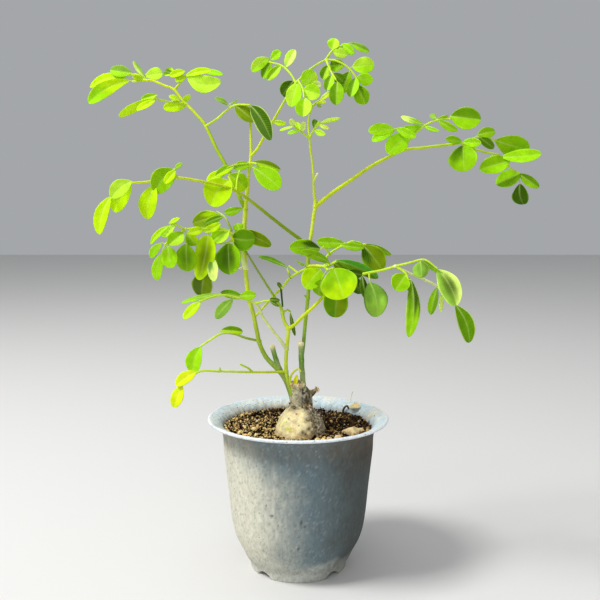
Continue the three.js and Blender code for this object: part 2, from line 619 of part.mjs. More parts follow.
// One leaflet: a thin blade with a shallow fold along its midrib and an arch along its length, on a short
// stalk that starts inside the twig. Both faces are split into the same triangles.
function leafletSolid([baseAcross, baseUp, tipAcross, tipUp, width, nearer, roll, bow = 0], root) {
  const base = seen(baseAcross, baseUp, root[2]);
  const tip = seen(tipAcross, tipUp, root[2] + nearer);
  const start = seen(...root);
  const axis = tip.clone().sub(base);
  const length = axis.length();
  axis.normalize();
  const toEye = EYE.clone().sub(base).normalize();
  const side = axis.clone().cross(toEye).normalize();
  side.applyAxisAngle(axis, THREE.MathUtils.degToRad(roll));
  const facing = side.clone().cross(axis).normalize();

  const rows = [];
  const row = (centre, across, halfWidth, lift) => {
    const lifted = centre.clone().addScaledVector(facing, lift);
    rows.push([-1, 1].map((hand) => lifted.clone().addScaledVector(across, hand * halfWidth)));
  };
  const stalk = base.clone().sub(start);
  const stalkSide = stalk.length() > 0.2 ? stalk.clone().cross(facing).normalize() : side;
  if (stalkSide.dot(side) < 0) stalkSide.negate();
  row(start, stalkSide.length() > 0.5 ? stalkSide : side, STALK_HALF_WIDTH, 0);
  if (stalk.length() > 1) row(base, side, STALK_HALF_WIDTH, 0);
  const bladeRows = leafStations(width).map((along) => ({
    along,
    half: Math.max((width / 2) * leafOutline(along), STALK_HALF_WIDTH),
  }));

  const arch = (along) => 0.14 * length * along * (1 - along);
  const points = rows.map(([left, right]) => [left, right]);
  for (const { along, half } of bladeRows) {
    const centre = base.clone().addScaledVector(axis, along * length).addScaledVector(facing, arch(along));
    centre.addScaledVector(side, 4 * bow * along * (1 - along));
    const rise = 0.2 * half;
    points.push([
      centre.clone().addScaledVector(side, -half).addScaledVector(facing, rise),
      centre,
      centre.clone().addScaledVector(side, half).addScaledVector(facing, rise),
    ]);
  }
  points.push([tip]);

  const vertices = points.flat();
  const first = points.map((_, k) => points.slice(0, k).flat().length);
  const face = [];
  points.slice(0, -1).forEach((near, k) => {
    const far = points[k + 1];
    const n = (index) => first[k] + index;
    const f = (index) => first[k + 1] + index;
    if (near.length === 2 && far.length === 2) face.push([n(0), n(1), f(1)], [n(0), f(1), f(0)]);
    if (near.length === 2 && far.length === 3) {
      face.push([n(0), n(1), f(1)], [n(0), f(1), f(0)], [n(1), f(2), f(1)]);
    }
    if (near.length === 3 && far.length === 3) {
      face.push([n(0), n(1), f(1)], [n(0), f(1), f(0)], [n(1), n(2), f(2)], [n(1), f(2), f(1)]);
    }
    if (near.length === 3 && far.length === 1) face.push([n(0), n(1), f(0)], [n(1), n(2), f(0)]);
  });
  const left = points.map((across, k) => first[k]);
  const right = points.map((across, k) => first[k] + across.length - 1);
  const rim = [...right, ...left.slice(0, -1).reverse()];

  const count = vertices.length;
  const half = BLADE_THICKNESS / 2;
  const positions = [half, -half].flatMap((offset) =>
    vertices.flatMap((vertex) => vertex.clone().addScaledVector(facing, offset).toArray()),
  );
  const index = face.flatMap(([a, b, c]) => [a, b, c, count + a, count + c, count + b]);
  rim.forEach((vertex, k) => {
    const next = rim[(k + 1) % rim.length];
    index.push(vertex, count + vertex, count + next, vertex, count + next, next);
  });
  const geometry = new THREE.BufferGeometry();
  geometry.setAttribute("position", new THREE.Float32BufferAttribute(positions, 3));
  geometry.setIndex(index);
  return solidFrom(geometry);
}

// One frond: its twigs and leaflets grown together, seated against the stem that carries it
function frondSolid({ stem, twigs, leaflets }) {
  const stemLines = STEMS[stem].map(({ points }) => points);
  const lines = [];
  let solid = null;
  for (const part of twigs) {
    const from = lines.length > 0 ? lines : stemLines;
    const line = traceTwig(part, nearestOnLines(from, ...part.points[0]));
    lines.push(line);
    const radii = line.map((_, k) => {
      const thinning = (part.thin - part.thick) * (k / (line.length - 1));
      return Math.max(part.thick + thinning, THINNEST_TWIG);
    });
    const body = tube(line.map((point) => seen(...point)), radii, 5);
    solid = solid ? solid.add(body) : body;
  }
  for (const leaflet of leaflets) {
    solid = solid.add(leafletSolid(leaflet, nearestOnLines(lines, leaflet[0], leaflet[1])));
  }
  return largestBody(solid.subtract(stemSolid(stem, GAP)));
}

// A closed profile turned round the upright axis
function turned(profile, sides) {
  const outline = profile.map(([radius, up]) => new THREE.Vector2(radius, up));
  const geometry = new THREE.LatheGeometry(outline, sides);
  geometry.rotateX(Math.PI / 2);
  return solidFrom(geometry);
}

// The inside of the pot wall from the floor up to the flare under the lip
const POT_INSIDE = [
  [26.8, FLOOR_TOP], [31.4, 12.2], [35.3, 20], [37.7, 32], [39.3, 50], [41.3, 70], [42.6, 82],
];

function potSolid() {
  const inner = FOOT_RADIUS - FOOT_RING;
  const profile = [
    [0, FLOOR_UNDERSIDE], [inner, FLOOR_UNDERSIDE], [inner, 0], [FOOT_RADIUS, 0], [28.8, FOOT_BAND],
    [30.1, 6], [33, 12], [36.8, 20], [39.2, 32], [40.8, 50], [42.9, 70], [44.1, 82], [45.6, 84.6],
    [48.4, 86.2], [LIP_RADIUS - 0.5, 87.1], [LIP_RADIUS, 88.1], [LIP_RADIUS - 0.9, POT_HEIGHT],
    [LIP_RADIUS - 2.2, 88.8], [46.6, 87.3], [43.9, 85.1],
    ...POT_INSIDE.toReversed(), [0, FLOOR_TOP],
  ];
  let pot = turned(profile, POT_SIDES);
  const arch = new THREE.Shape();
  arch.moveTo(-NOTCH_WIDTH / 2, -1);
  arch.lineTo(NOTCH_WIDTH / 2, -1);
  arch.quadraticCurveTo(NOTCH_WIDTH / 2, NOTCH_HEIGHT, 0, NOTCH_HEIGHT);
  arch.quadraticCurveTo(-NOTCH_WIDTH / 2, NOTCH_HEIGHT, -NOTCH_WIDTH / 2, -1);
  for (const turn of [45, 135, 225, 315]) {
    const notch = new THREE.ExtrudeGeometry(arch, { depth: 10, bevelEnabled: false, curveSegments: 4 });
    notch.rotateX(Math.PI / 2);
    notch.translate(0, FOOT_RADIUS + 4, 0);
    notch.rotateZ(THREE.MathUtils.degToRad(turn));
    pot = pot.subtract(solidFrom(notch));
  }
  for (let k = 0; k < DRAIN_COUNT; k += 1) {
    const drain = new THREE.CylinderGeometry(DRAIN_RADIUS, DRAIN_RADIUS, 6, 8);
    drain.rotateX(Math.PI / 2);
    const turn = (2 * Math.PI * k) / DRAIN_COUNT;
    drain.translate(DRAIN_CIRCLE * Math.cos(turn), DRAIN_CIRCLE * Math.sin(turn), FLOOR_TOP - 1);
    pot = pot.subtract(solidFrom(drain));
  }
  return pot;
}

// How far the soil stands above its level at a place: crumbs of several sizes, as crossed waves
function crumbs(x, y) {
  const coarse = Math.sin(0.41 * x + 1.3) * Math.sin(0.47 * y - 0.6);
  const middle = Math.sin(0.93 * x - 0.5 * y + 2.1) * Math.sin(0.88 * y + 0.42 * x);
  const fine = Math.sin(2.1 * x + 0.7) * Math.sin(2.3 * y + 1.9);
  return CRUMB_HEIGHT * (0.55 * coarse + 0.35 * middle + 0.2 * fine);
}

function soilSolid() {
  const inside = POT_INSIDE.filter(([, up]) => up < SOIL_LEVEL - 4);
  const side = inside.map(([radius, up]) => [radius - GAP, up + (up === FLOOR_TOP ? GAP : 0)]);
  const top = Array.from({ length: SOIL_RINGS }, (_, k) => [
    SOIL_RADIUS * (1 - k / SOIL_RINGS),
    SOIL_LEVEL,
  ]);
  const outline = [[0, FLOOR_TOP + GAP], ...side, ...top, [0, SOIL_LEVEL]];
  const geometry = new THREE.LatheGeometry(
    outline.map(([radius, up]) => new THREE.Vector2(radius, up)),
    SOIL_SIDES,
  );
  geometry.rotateX(Math.PI / 2);
  const position = geometry.attributes.position;
  for (let k = 0; k < position.count; k += 1) {
    if (position.getZ(k) < SOIL_LEVEL - 1) continue;
    const x = position.getX(k);
    const y = position.getY(k);
    position.setZ(k, SOIL_LEVEL + crumbs(x, y));
  }
  return solidFrom(geometry);
}

// A loose stone: a ball pressed to its size, with uneven sides, partly sunk in the soil
function pebbleSolid([across, front, length, width, height], clearance) {
  const stone = new THREE.IcosahedronGeometry(0.5, 1);
  const position = stone.attributes.position;
  for (let k = 0; k < position.count; k += 1) {
    const [x, y, z] = [position.getX(k), position.getY(k), position.getZ(k)];
    const uneven = 1 + 0.09 * Math.sin(7 * x + across) + 0.08 * Math.sin(9 * y + 5 * z);
    position.setXYZ(k, x * uneven, y * uneven, z * uneven);
  }
  stone.scale(length + 2 * clearance, width + 2 * clearance, height + 2 * clearance);
  stone.rotateZ(0.4 * across);
  stone.translate(across, -front, SOIL_LEVEL + crumbs(across, -front) + height * 0.22);
  return solidFrom(stone);
}

// The swollen trunk base down to the tip of its taproot: radius and height
const BULB_DEPTH = 7;
const BULB = [
  [0, 34], [1.6, 35], [3.2, 44], [5.6, 55], [8.8, 64], [12.4, 71], [14.2, 77], [14.2, 81.5], [13.2, 85],
  [11.7, 88], [9.6, 91], [7.2, 94.2], [6.2, 97.5], [6, 101], [5.2, 103.6], [0, 104.2],
];

function bulbSolid(clearance) {
  const axisPlace = seen(1.2, 84, BULB_DEPTH);
  const scale = 1 + BULB_DEPTH / EYE.y;
  const outline = BULB.map(([radius, up]) => {
    const fattened = radius > 0 ? radius * scale + clearance : 0;
    return new THREE.Vector2(fattened, seen(1.2, up, BULB_DEPTH).z);
  });
  const geometry = new THREE.LatheGeometry(outline, 20);
  geometry.rotateX(Math.PI / 2);
  const position = geometry.attributes.position;
  for (let k = 0; k < position.count; k += 1) {
    const [x, y, z] = [position.getX(k), position.getY(k), position.getZ(k)];
    const angle = Math.atan2(y, x);
    const swell = 1 + 0.035 * Math.sin(3 * angle + 0.09 * z) + 0.025 * Math.sin(5 * angle - 0.2 * z);
    position.setXYZ(k, x * swell + axisPlace.x, y * swell + axisPlace.y, z);
  }
  return solidFrom(geometry);
}

// Cut-off stumps, a side stub and the curled young shoot on top of the trunk: across, up, depth, radius
const TRUNK_PARTS = [
  [[-0.6, 91, 8, 4.8], [-0.8, 98, 8.4, 4.5], [-0.8, 104, 8.6, 4.2], [-0.6, 107.6, 8.6, 4]],
  [[4.2, 90, 6, 4.2], [5.2, 96, 5.6, 2.9], [5, 101, 5.6, 2.8], [3.6, 104.6, 5.8, 2.2]],
  [[5.4, 100, 6, 1.8], [8, 102.8, 6, 1.7], [11.7, 106, 6.2, 1.5]],
  [[-3.4, 105, 10.5, 0.5], [-4.7, 111.2, 11.5, 0.45], [-3.2, 114.5, 12, 0.45], [0.2, 116.7, 12.5, 0.45],
    [1.4, 115.4, 13, 0.45]],
  [[-1.9, 105.5, 10.8, 0.6], [-1.6, 109.5, 11.6, 0.95], [-0.6, 113.5, 12, 0.45]],
];

function trunkSolid(clearance = 0) {
  return TRUNK_PARTS.reduce(
    (trunk, points) =>
      trunk.add(
        tube(
          points.map(([across, up, depth]) => seen(across, up, depth)),
          points.map((point) => point[3]),
          points[0][3] > 2 ? 10 : 5,
          clearance,
        ),
      ),
    bulbSolid(clearance),
  );
}

// The whole plant in its pot
const plant = new THREE.Group();
plant.add(meshFrom("pot", potSolid(), POT_PLASTIC, 0.6));

const hollow = PEBBLES.reduce((cut, pebble) => cut.add(pebbleSolid(pebble, GAP)), bulbSolid(GAP));
plant.add(meshFrom("soil", largestBody(soilSolid().subtract(hollow)), POTTING_MIX, 0.95));
PEBBLES.forEach((pebble, k) => plant.add(meshFrom(`pebble_${k + 1}`, pebbleSolid(pebble, 0), STONE, 0.8)));

plant.add(meshFrom("trunk", trunkSolid(), BARK, 0.8));
const trunkSeat = trunkSolid(GAP);
for (const name of Object.keys(STEMS)) {
  const stem = largestBody(stemSolid(name).subtract(trunkSeat));
  plant.add(meshFrom(name, stem, GREEN_STEM, 0.6));
}
for (const frond of FRONDS) plant.add(meshFrom(frond.name, frondSolid(frond), LEAF_GREEN, 0.5));

// The part's origin: on the floor, under the middle of the plant's box
const moringa = new THREE.Group();
const box = new THREE.Box3().setFromObject(plant);
const middle = box.getCenter(new THREE.Vector3());
plant.position.set(-middle.x, -middle.y, -box.min.z);
moringa.add(plant);

export default moringa;
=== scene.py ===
"""A young moringa tree in its pot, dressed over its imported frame.

A bell-shaped weathered plastic pot holds potting mix with loose stones. A swollen, pruned trunk carries
three thin stems, and compound leaves with round leaflets grow from them. Shapes are worked out in
millimetres from the foot of the pot's axis, +Z up and the front towards -Y, and become metres when their
meshes are made.
"""

import logging
import math
from collections.abc import Sequence
from dataclasses import dataclass
from enum import Enum

import bmesh
import bpy
import numpy as np
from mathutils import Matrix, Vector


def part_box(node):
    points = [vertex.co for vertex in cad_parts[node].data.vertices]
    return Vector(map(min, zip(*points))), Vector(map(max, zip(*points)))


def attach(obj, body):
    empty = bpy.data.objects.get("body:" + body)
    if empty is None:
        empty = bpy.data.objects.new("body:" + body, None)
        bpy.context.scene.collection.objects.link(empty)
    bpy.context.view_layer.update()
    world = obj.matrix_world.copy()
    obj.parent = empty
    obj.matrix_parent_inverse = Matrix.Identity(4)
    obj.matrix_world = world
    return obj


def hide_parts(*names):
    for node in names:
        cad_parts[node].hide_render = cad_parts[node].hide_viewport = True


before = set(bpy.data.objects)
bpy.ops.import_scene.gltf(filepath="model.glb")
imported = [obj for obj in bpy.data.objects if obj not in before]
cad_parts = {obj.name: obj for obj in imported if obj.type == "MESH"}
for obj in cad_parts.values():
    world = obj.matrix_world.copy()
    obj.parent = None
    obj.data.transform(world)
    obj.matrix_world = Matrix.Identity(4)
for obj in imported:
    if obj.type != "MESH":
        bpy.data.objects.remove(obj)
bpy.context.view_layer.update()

log = logging.getLogger("potted_moringa")

MM = 0.001
POT_LOW, POT_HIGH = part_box("pot")
POT_AXIS = np.array([(POT_LOW.x + POT_HIGH.x) / 2, (POT_LOW.y + POT_HIGH.y) / 2, 0.0]) / MM
FRONT = np.array([0.0, -1.0, 0.0])

# The plant was measured on the upright plane through the pot's axis, as seen from an eye in front of it.
EYE = np.array([1.0, -475.0, 212.0])
DISTANCE = -EYE[1]
OFF_BLADE = -1.0
WHITE = (1.0, 1.0, 1.0, 1.0)
LATTICE = 24


class Tone(Enum):
    """Colours of the plant and of what it stands in, as web colours."""

    # The leaf tones hold painted light and shade as well as colour: LEMON and YELLOW stand for leaves lit
    # through by the sun, DARK and DEEP for leaves in shade.
    LEMON = "#dcec14"
    YELLOW = "#c1ec05"
    LIME = "#b3df03"
    SPRING = "#a6e910"
    BRIGHT = "#8bc604"
    MID = "#87bd05"
    GREEN = "#5c8d04"
    DARK = "#375e04"
    DEEP = "#183702"
    OLIVE = "#718d04"
    PALE = "#c2f238"
    SILVER = "#dcf57a"
    SAGE = "#8ab93a"
    GLAUCOUS = "#68952e"
    GREY = "#4e691e"
    CREAM_GREEN = "#e6f0a0"
    JADE = "#58b432"
    RIB = "#cde478"
    VEIN = "#c4ea3a"
    STALK = "#bedc3a"
    # SHADED_STALK is painted shade on stalks, and STEM_YELLOW painted sunlight on stems and twigs.
    SHADED_STALK = "#86a026"
    STEM_YELLOW = "#cbdc2a"
    STEM_GREEN = "#90b022"
    STEM_DARK = "#5f8a1c"
    SHOOT = "#cfd84c"
    GOLD = "#e6dc14"
    STUB_BARK = "#98a965"
    PALE_CUT = "#efe0b0"
    TRUNK_CREAM = "#f8e8b0"
    TRUNK_OCHRE = "#dab984"
    TRUNK_NECK = "#b8b190"
    TRUNK_GREY = "#7d705c"
    TRUNK_DARK = "#3e3122"
    TRUNK_GREEN = "#d2d83c"
    SOIL_DARK = "#150e09"
    SOIL_BROWN = "#49351f"
    SOIL_TAN = "#b8935a"
    SOIL_OCHRE = "#f0d38e"
    SOIL_WHITE = "#ddd6c4"
    STONE_TAN = "#ddc896"
    DRY_LEAF = "#e0cfa0"
    # POT_CREAM is painted light on the pot's left side, and POT_SHADE painted shade on its right side.
    POT_BLUE = "#68797f"
    POT_CREAM = "#d2d0bd"
    POT_SHADE = "#4d5453"
    # The grime tone gives dirt specks, and also painted shade under the lip and a darker band above the foot.
    POT_GRIME_AND_SHADE = "#6b665a"
    POT_LIP = "#e4eaed"
    POT_INNER = "#c9d3d3"
    # The sky tone is painted blue skylight on the inner flare.
    POT_SKYLIGHT = "#aecbd8"
    POT_STAIN = "#e3d8b8"
    POT_FOOT = "#c8cabf"

    @property
    def linear(self) -> np.ndarray:
        """The colour as linear red, green, blue and a full alpha, by the sRGB curve."""
        shares = np.array([int(self.value[k : k + 2], 16) for k in (1, 3, 5)]) / 255
        return np.append(np.where(shares > 0.04045, ((shares + 0.055) / 1.055) ** 2.4, shares / 12.92), 1.0)


def unit(vectors: np.ndarray) -> np.ndarray:
    """Vectors brought to length 1 along the last axis."""
    return vectors / np.linalg.norm(vectors, axis=-1, keepdims=True)


def eased(values: np.ndarray, low: float, high: float) -> np.ndarray:
    """A smooth step: 0 up to `low`, 1 from `high`, and 3t^2 - 2t^3 between."""
    share = np.clip((values - low) / (high - low), 0, 1)
    return share * share * (3 - 2 * share)


def bell(values: np.ndarray, middle: float, width: float) -> np.ndarray:
    """A soft peak at `middle`: exp(-((value - middle) / width)^2)."""
    return np.exp(-(((values - middle) / width) ** 2))


def blended(first: np.ndarray, second: np.ndarray, share: np.ndarray) -> np.ndarray:
    """Colours between `first` and `second`, by a share for each point."""
    return first + (second - first) * np.asarray(share)[..., None]


def coated(colour: np.ndarray, *coats: tuple[Tone | None, np.ndarray]) -> np.ndarray:
    """Colours under coats of other tones.

    Args:
        colour: what the first coat goes on.
        coats: the tone of each coat, or None for no coat, and its share at each point.

    Returns:
        Linear colours, one for each point.
    """
    for tone, share in coats:
        if tone:
            colour = blended(colour, tone.linear, share)
    return colour


def turns(count: int) -> np.ndarray:
    """Angles that share out a full turn."""
    return 2 * np.pi * np.arange(count) / count


def around(radius: np.ndarray, angle: np.ndarray, up: np.ndarray) -> np.ndarray:
    """Places at a radius and an angle round the pot's axis, and at a height."""
    return np.stack(np.broadcast_arrays(radius * np.cos(angle), radius * np.sin(angle), up), axis=-1)


def travelled(points: np.ndarray) -> np.ndarray:
    """The way along a line of points up to each of them."""
    return np.concatenate([[0.0], np.cumsum(np.linalg.norm(np.diff(points, axis=0), axis=1))])


def seen(across: np.ndarray, up: np.ndarray, depth: np.ndarray) -> np.ndarray:
    """Places of points that look to be at (across, up) on the upright plane through the pot's axis.

    A point slides from the plane towards the eye by the share that its depth is of the eye's distance.

    Args:
        across: millimetres to the right of the pot's axis.
        up: millimetres above the floor.
        depth: millimetres in front of the plane.

    Returns:
        Points, with x, y and z on the last axis.
    """
    across, up, depth = np.broadcast_arrays(np.asarray(across, float), up, depth)
    on_plane = np.stack([across, np.zeros_like(across), up], axis=-1)
    return on_plane + (EYE - on_plane) * (depth / DISTANCE)[..., None]


def as_seen(points: np.ndarray) -> tuple[np.ndarray, np.ndarray]:
    """Across and up of the spots on that plane where points look to be: the reverse of `seen`."""
    share = -points[:, 1] / DISTANCE
    return tuple((points[:, k] - EYE[k] * share) / (1 - share) for k in (0, 2))


def noise(points: np.ndarray, size: float, seed: int) -> np.ndarray:
    """Smooth lumps from -1 to 1.

    Each corner of a repeating lattice of cells has a random value, and a point takes the eased mean of the
    values at its cell's corners.

    Args:
        points: places, with x, y and z on the last axis.
        size: the side of a cell, in millimetres.
        seed: which lattice of values to use.

    Returns:
        One value for each point.
    """
    lattice = np.random.default_rng(seed).uniform(-1, 1, (LATTICE, LATTICE, LATTICE))
    place = np.asarray(points) / size
    low = np.floor(place).astype(int)
    share = eased(place - low, 0, 1)
    total = np.zeros(place.shape[:-1])
    for corner in np.ndindex(2, 2, 2):
        weight = np.prod(np.where(np.array(corner) == 1, share, 1 - share), axis=-1)
        index = (low + corner) % LATTICE
        total += weight * lattice[index[..., 0], index[..., 1], index[..., 2]]
    return total


def smooth_line(points: np.ndarray, spacing: float) -> np.ndarray:
    """A smooth line through given points.

    Between two points every value follows the cubic whose slopes at both are the mean slopes there.

    Args:
        points: rows, whose first three values are a place.
        spacing: the step along the line, in millimetres.

    Returns:
        Rows with the same columns as `points`.
    """
    points = np.asarray(points, float)
    places = travelled(points[:, :3])
    slopes = np.gradient(points, places, axis=0)
    count = max(int(places[-1] / spacing), len(points), 3)
    along = np.linspace(0, places[-1], count + 1)
    k = np.clip(np.searchsorted(places, along, side="right") - 1, 0, len(places) - 2)
    reach = (places[k + 1] - places[k])[:, None]
    t = (along - places[k])[:, None] / reach
    start = (1 + 2 * t) * (1 - t) ** 2 * points[k] + t * (1 - t) ** 2 * reach * slopes[k]
    end = t * t * (3 - 2 * t) * points[k + 1] + t * t * (t - 1) * reach * slopes[k + 1]
    return start + end


@dataclass
class Surface:
    """A closed shape before it is a mesh.

    Attributes:
        points: places in millimetres from the foot of the pot's axis, (n, 3).
        faces: arrays of point numbers, four or three in a row.
        colour: linear colour of each point, (n, 4).
        place: where each point lies on a blade: along and across in millimetres, and the share from the
            midrib to the rim, or OFF_BLADE in all three, (n, 3).
    """

    points: np.ndarray
    faces: list[np.ndarray]
    colour: np.ndarray
    place: np.ndarray

    @classmethod
    def off_blade(cls, points: np.ndarray, faces: list[np.ndarray], colour: np.ndarray) -> "Surface":
        """A shape that is no part of a blade."""
        return cls(points, faces, colour, np.full((len(points), 3), OFF_BLADE))

    def turned_out(self) -> "Surface":
        """The same shape with its faces outwards.

        The signed volume is the sum of a . (b x c) over triangles a, b, c, and where it is negative every
        face is reversed.

        Returns:
            This shape.
        """
        volume = 0.0
        for face in self.faces:
            for k in range(1, face.shape[1] - 1):
                a, b, c = (self.points[face[:, n]] for n in (0, k, k + 1))
                volume += float(np.sum(a * np.cross(b, c)))
        if volume < 0:
            self.faces = [face[:, ::-1] for face in self.faces]
        return self


def joined(surfaces: Sequence[Surface]) -> Surface:
    """Several shapes as one, with the later ones' point numbers moved up.

    Args:
        surfaces: the shapes.

    Returns:
        One shape with all their points and faces.
    """
    starts = np.cumsum([0] + [len(surface.points) for surface in surfaces])
    return Surface(
        np.concatenate([surface.points for surface in surfaces]),
        [face + start for surface, start in zip(surfaces, starts) for face in surface.faces],
        np.concatenate([surface.colour for surface in surfaces]),
        np.concatenate([surface.place for surface in surfaces]),
    )


def closed_rings(
    grid: np.ndarray, ends: np.ndarray, colour: np.ndarray | float = 1.0,
    place: np.ndarray | float = OFF_BLADE,
) -> Surface:
    """A shape of rings, closed at both ends by a pole.

    Args:
        grid: places of the ring points, (rows, columns, 3).
        ends: the two poles, (2, 3).
        colour: colours that broadcast to (rows, columns, 4).
        place: places on a blade that broadcast to (rows, columns, 3).

    Returns:
        The shape with its faces outwards.
    """
    rows, columns = grid.shape[:2]
    number = np.arange(rows * columns).reshape(rows, columns)
    after = np.roll(number, -1, axis=1)
    quads = np.stack([number[:-1], after[:-1], after[1:], number[1:]], axis=-1).reshape(-1, 4)
    first, last = np.full(columns, rows * columns), np.full(columns, rows * columns + 1)
    near_cap = np.stack([first, after[0], number[0]], axis=-1)
    far_cap = np.stack([last, number[-1], after[-1]], axis=-1)

    def with_poles(values: np.ndarray, size: int) -> np.ndarray:
        """Grid values of `size` numbers as a list, with the first and last ring's means for the poles."""
        values = np.broadcast_to(values, (rows, columns, size))
        return np.concatenate([values.reshape(-1, size), values[[0, -1]].mean(axis=1)])

    points = np.concatenate([grid.reshape(-1, 3), ends])
    faces = [quads, np.concatenate([near_cap, far_cap])]
    return Surface(points, faces, with_poles(colour, 4), with_poles(place, 3)).turned_out()


def tube(
    line: np.ndarray, radii: np.ndarray, sides: int, colour: np.ndarray, relief: np.ndarray | float = 1.0
) -> Surface:
    """A round stem along a line, with rounded ends.

    A ring stands square to the line at each of its points, and past both ends three smaller rings and a pole
    follow a half-ball.

    Args:
        line: places along the middle, (rows, 3).
        radii: radius at each place, (rows,).
        sides: points in a ring.
        colour: colour at each place, (rows, 4), or one for all.
        relief: factor on the radius at each ring point, (rows, sides), or 1.

    Returns:
        The closed stem.
    """
    turn = np.radians([65.0, 40.0, 15.0])
    heads = unit(np.stack([line[0] - line[1], line[-1] - line[-2]]))
    before = line[0] + radii[0] * np.sin(turn)[:, None] * heads[0]
    beyond = line[-1] + radii[-1] * np.sin(turn[::-1])[:, None] * heads[1]
    centres = np.concatenate([before, line, beyond])
    radii_all = np.concatenate([radii[0] * np.cos(turn), radii, radii[-1] * np.cos(turn[::-1])])
    colours, factors = (
        np.pad(np.broadcast_to(values, (len(line), size)), ((len(turn), len(turn)), (0, 0)), mode="edge")
        for values, size in ((colour, 4), (relief, sides))
    )
    tangent = unit(np.gradient(centres, axis=0))
    across = unit(np.cross(tangent, FRONT))
    outward = np.cross(across, tangent)
    angle = turns(sides)[:, None]
    spoke = across[:, None] * np.cos(angle) + outward[:, None] * np.sin(angle)
    grid = centres[:, None] + radii_all[:, None, None] * factors[..., None] * spoke
    ends = np.stack([line[0] + radii[0] * heads[0], line[-1] + radii[-1] * heads[1]])
    return closed_rings(grid, ends, colours[:, None])


@dataclass(frozen=True)
class Blade:
    """One thin leaf blade in space.

    Attributes:
        base: where the blade starts.
        tip: where it ends.
        facing: the way its front looks, about square to the line from base to tip.
        width: its full width, in millimetres.
        widest: the share of its length where it is widest.
        bow: how far its middle curves out to its right-hand side.
        fold: how high its edges stand, as a share of its half width.
        arch: how high its middle stands, as a share of its length.
    """

    base: np.ndarray
    tip: np.ndarray
    facing: np.ndarray
    width: float
    widest: float = 0.547
    bow: float = 0.0
    fold: float = 0.2
    arch: float = 0.14

    THICKNESS = 0.34
    RIB_HEIGHT = 0.2
    RIB_WIDTH = 0.35
    CREASE = 0.08
    BASE_BLUNTNESS = 0.6
    TIP_BLUNTNESS = 0.46
    WAVE_HEIGHT = 0.05
    WAVES = 1.7
    TWIST_DEGREES = 7
    DIVISIONS = (
        (3, 9, (1.0, 0.6, 0.14)),
        (8, 14, (1.0, 0.9, 0.6, 0.28, 0.08)),
        (math.inf, 22, (1.0, 0.95, 0.82, 0.62, 0.4, 0.2, 0.06)),
    )

    def stations(self) -> tuple[np.ndarray, int]:
        """Places across one face, from the right-hand rim to the left-hand rim, and how many rows it has."""
        rows, half = next((rows, half) for width, rows, half in self.DIVISIONS if self.width < width)
        return np.array([*half, 0.0, *(-share for share in half[::-1])]), rows

    def surface(self, paint: "LeafPaint", chance: np.random.Generator) -> Surface:
        """The blade as a closed thin shell.

        Along the blade, s from 0 to 1, the half width is width / 2 * sin(pi s^p)^b, where p sets the widest
        place and b falls towards the rounder tip, and the midrib stands arch * length * s(1 - s) towards the
        front. Across it, c from 1 to -1, both halves rise as |c|^1.5, wave a little at their rims, and thin
        out to the rim. A crease runs down the front and a rib stands out of the back.

        Args:
            paint: the blade's colours.
            chance: the source of its small random differences.

        Returns:
            The shell, whose places are along, across, and the share from the midrib to the rim.
        """
        across, rows = self.stations()
        span = np.linalg.norm(self.tip - self.base)
        axis = (self.tip - self.base) / span
        side = unit(np.cross(axis, self.facing))
        facing = np.cross(side, axis)

        s = (1 - np.cos(np.pi * (np.arange(rows) + 0.5) / rows)) / 2
        power = math.log(0.5) / math.log(self.widest)
        blunt = self.BASE_BLUNTNESS + (self.TIP_BLUNTNESS - self.BASE_BLUNTNESS) * s
        half = self.width / 2 * np.sin(np.pi * s**power) ** blunt
        twist = np.radians(chance.normal(0, self.TWIST_DEGREES)) * (s - 0.5)
        right = side * np.cos(twist)[:, None] + facing * np.sin(twist)[:, None]
        front = facing * np.cos(twist)[:, None] - side * np.sin(twist)[:, None]
        centre = self.base + axis * (s * span)[:, None]
        centre = centre + facing * (self.arch * span * s * (1 - s))[:, None]
        centre = centre + side * (4 * self.bow * s * (1 - s))[:, None]

        c = np.concatenate([across, -across[1:-1]])[None]
        is_front = (np.arange(c.size) < len(across))[None]
        rim = np.abs(c)
        sheet = np.where(rim == 1, 0.0, np.where(is_front, 1.0, -1.0))
        reach = c * half[:, None]
        phase = np.where(c > 0, *chance.uniform(0, 2 * np.pi, 2))
        wave_height = self.WAVE_HEIGHT * self.width * chance.uniform(0.4, 1)
        wave = wave_height * np.sin(2 * np.pi * self.WAVES * s[:, None] + phase)
        rib = bell(reach, 0, self.RIB_WIDTH)
        height = (
            self.fold * half[:, None] * rim**1.5
            + wave * rim**2 * np.sin(np.pi * s)[:, None]
            + sheet * self.THICKNESS / 2 * np.sqrt(1 - rim**4)
            - np.where(is_front, self.CREASE, self.RIB_HEIGHT * (1 - 0.8 * s[:, None])) * rib
        )
        grid = centre[:, None] + right[:, None] * reach[..., None] + front[:, None] * height[..., None]
        place = np.stack(np.broadcast_arrays((s * span)[:, None], reach, rim), axis=-1)
        colour = paint.colour(s[:, None], c, reach, is_front, chance)
        return closed_rings(grid, np.stack([self.base, self.tip]), colour, place)


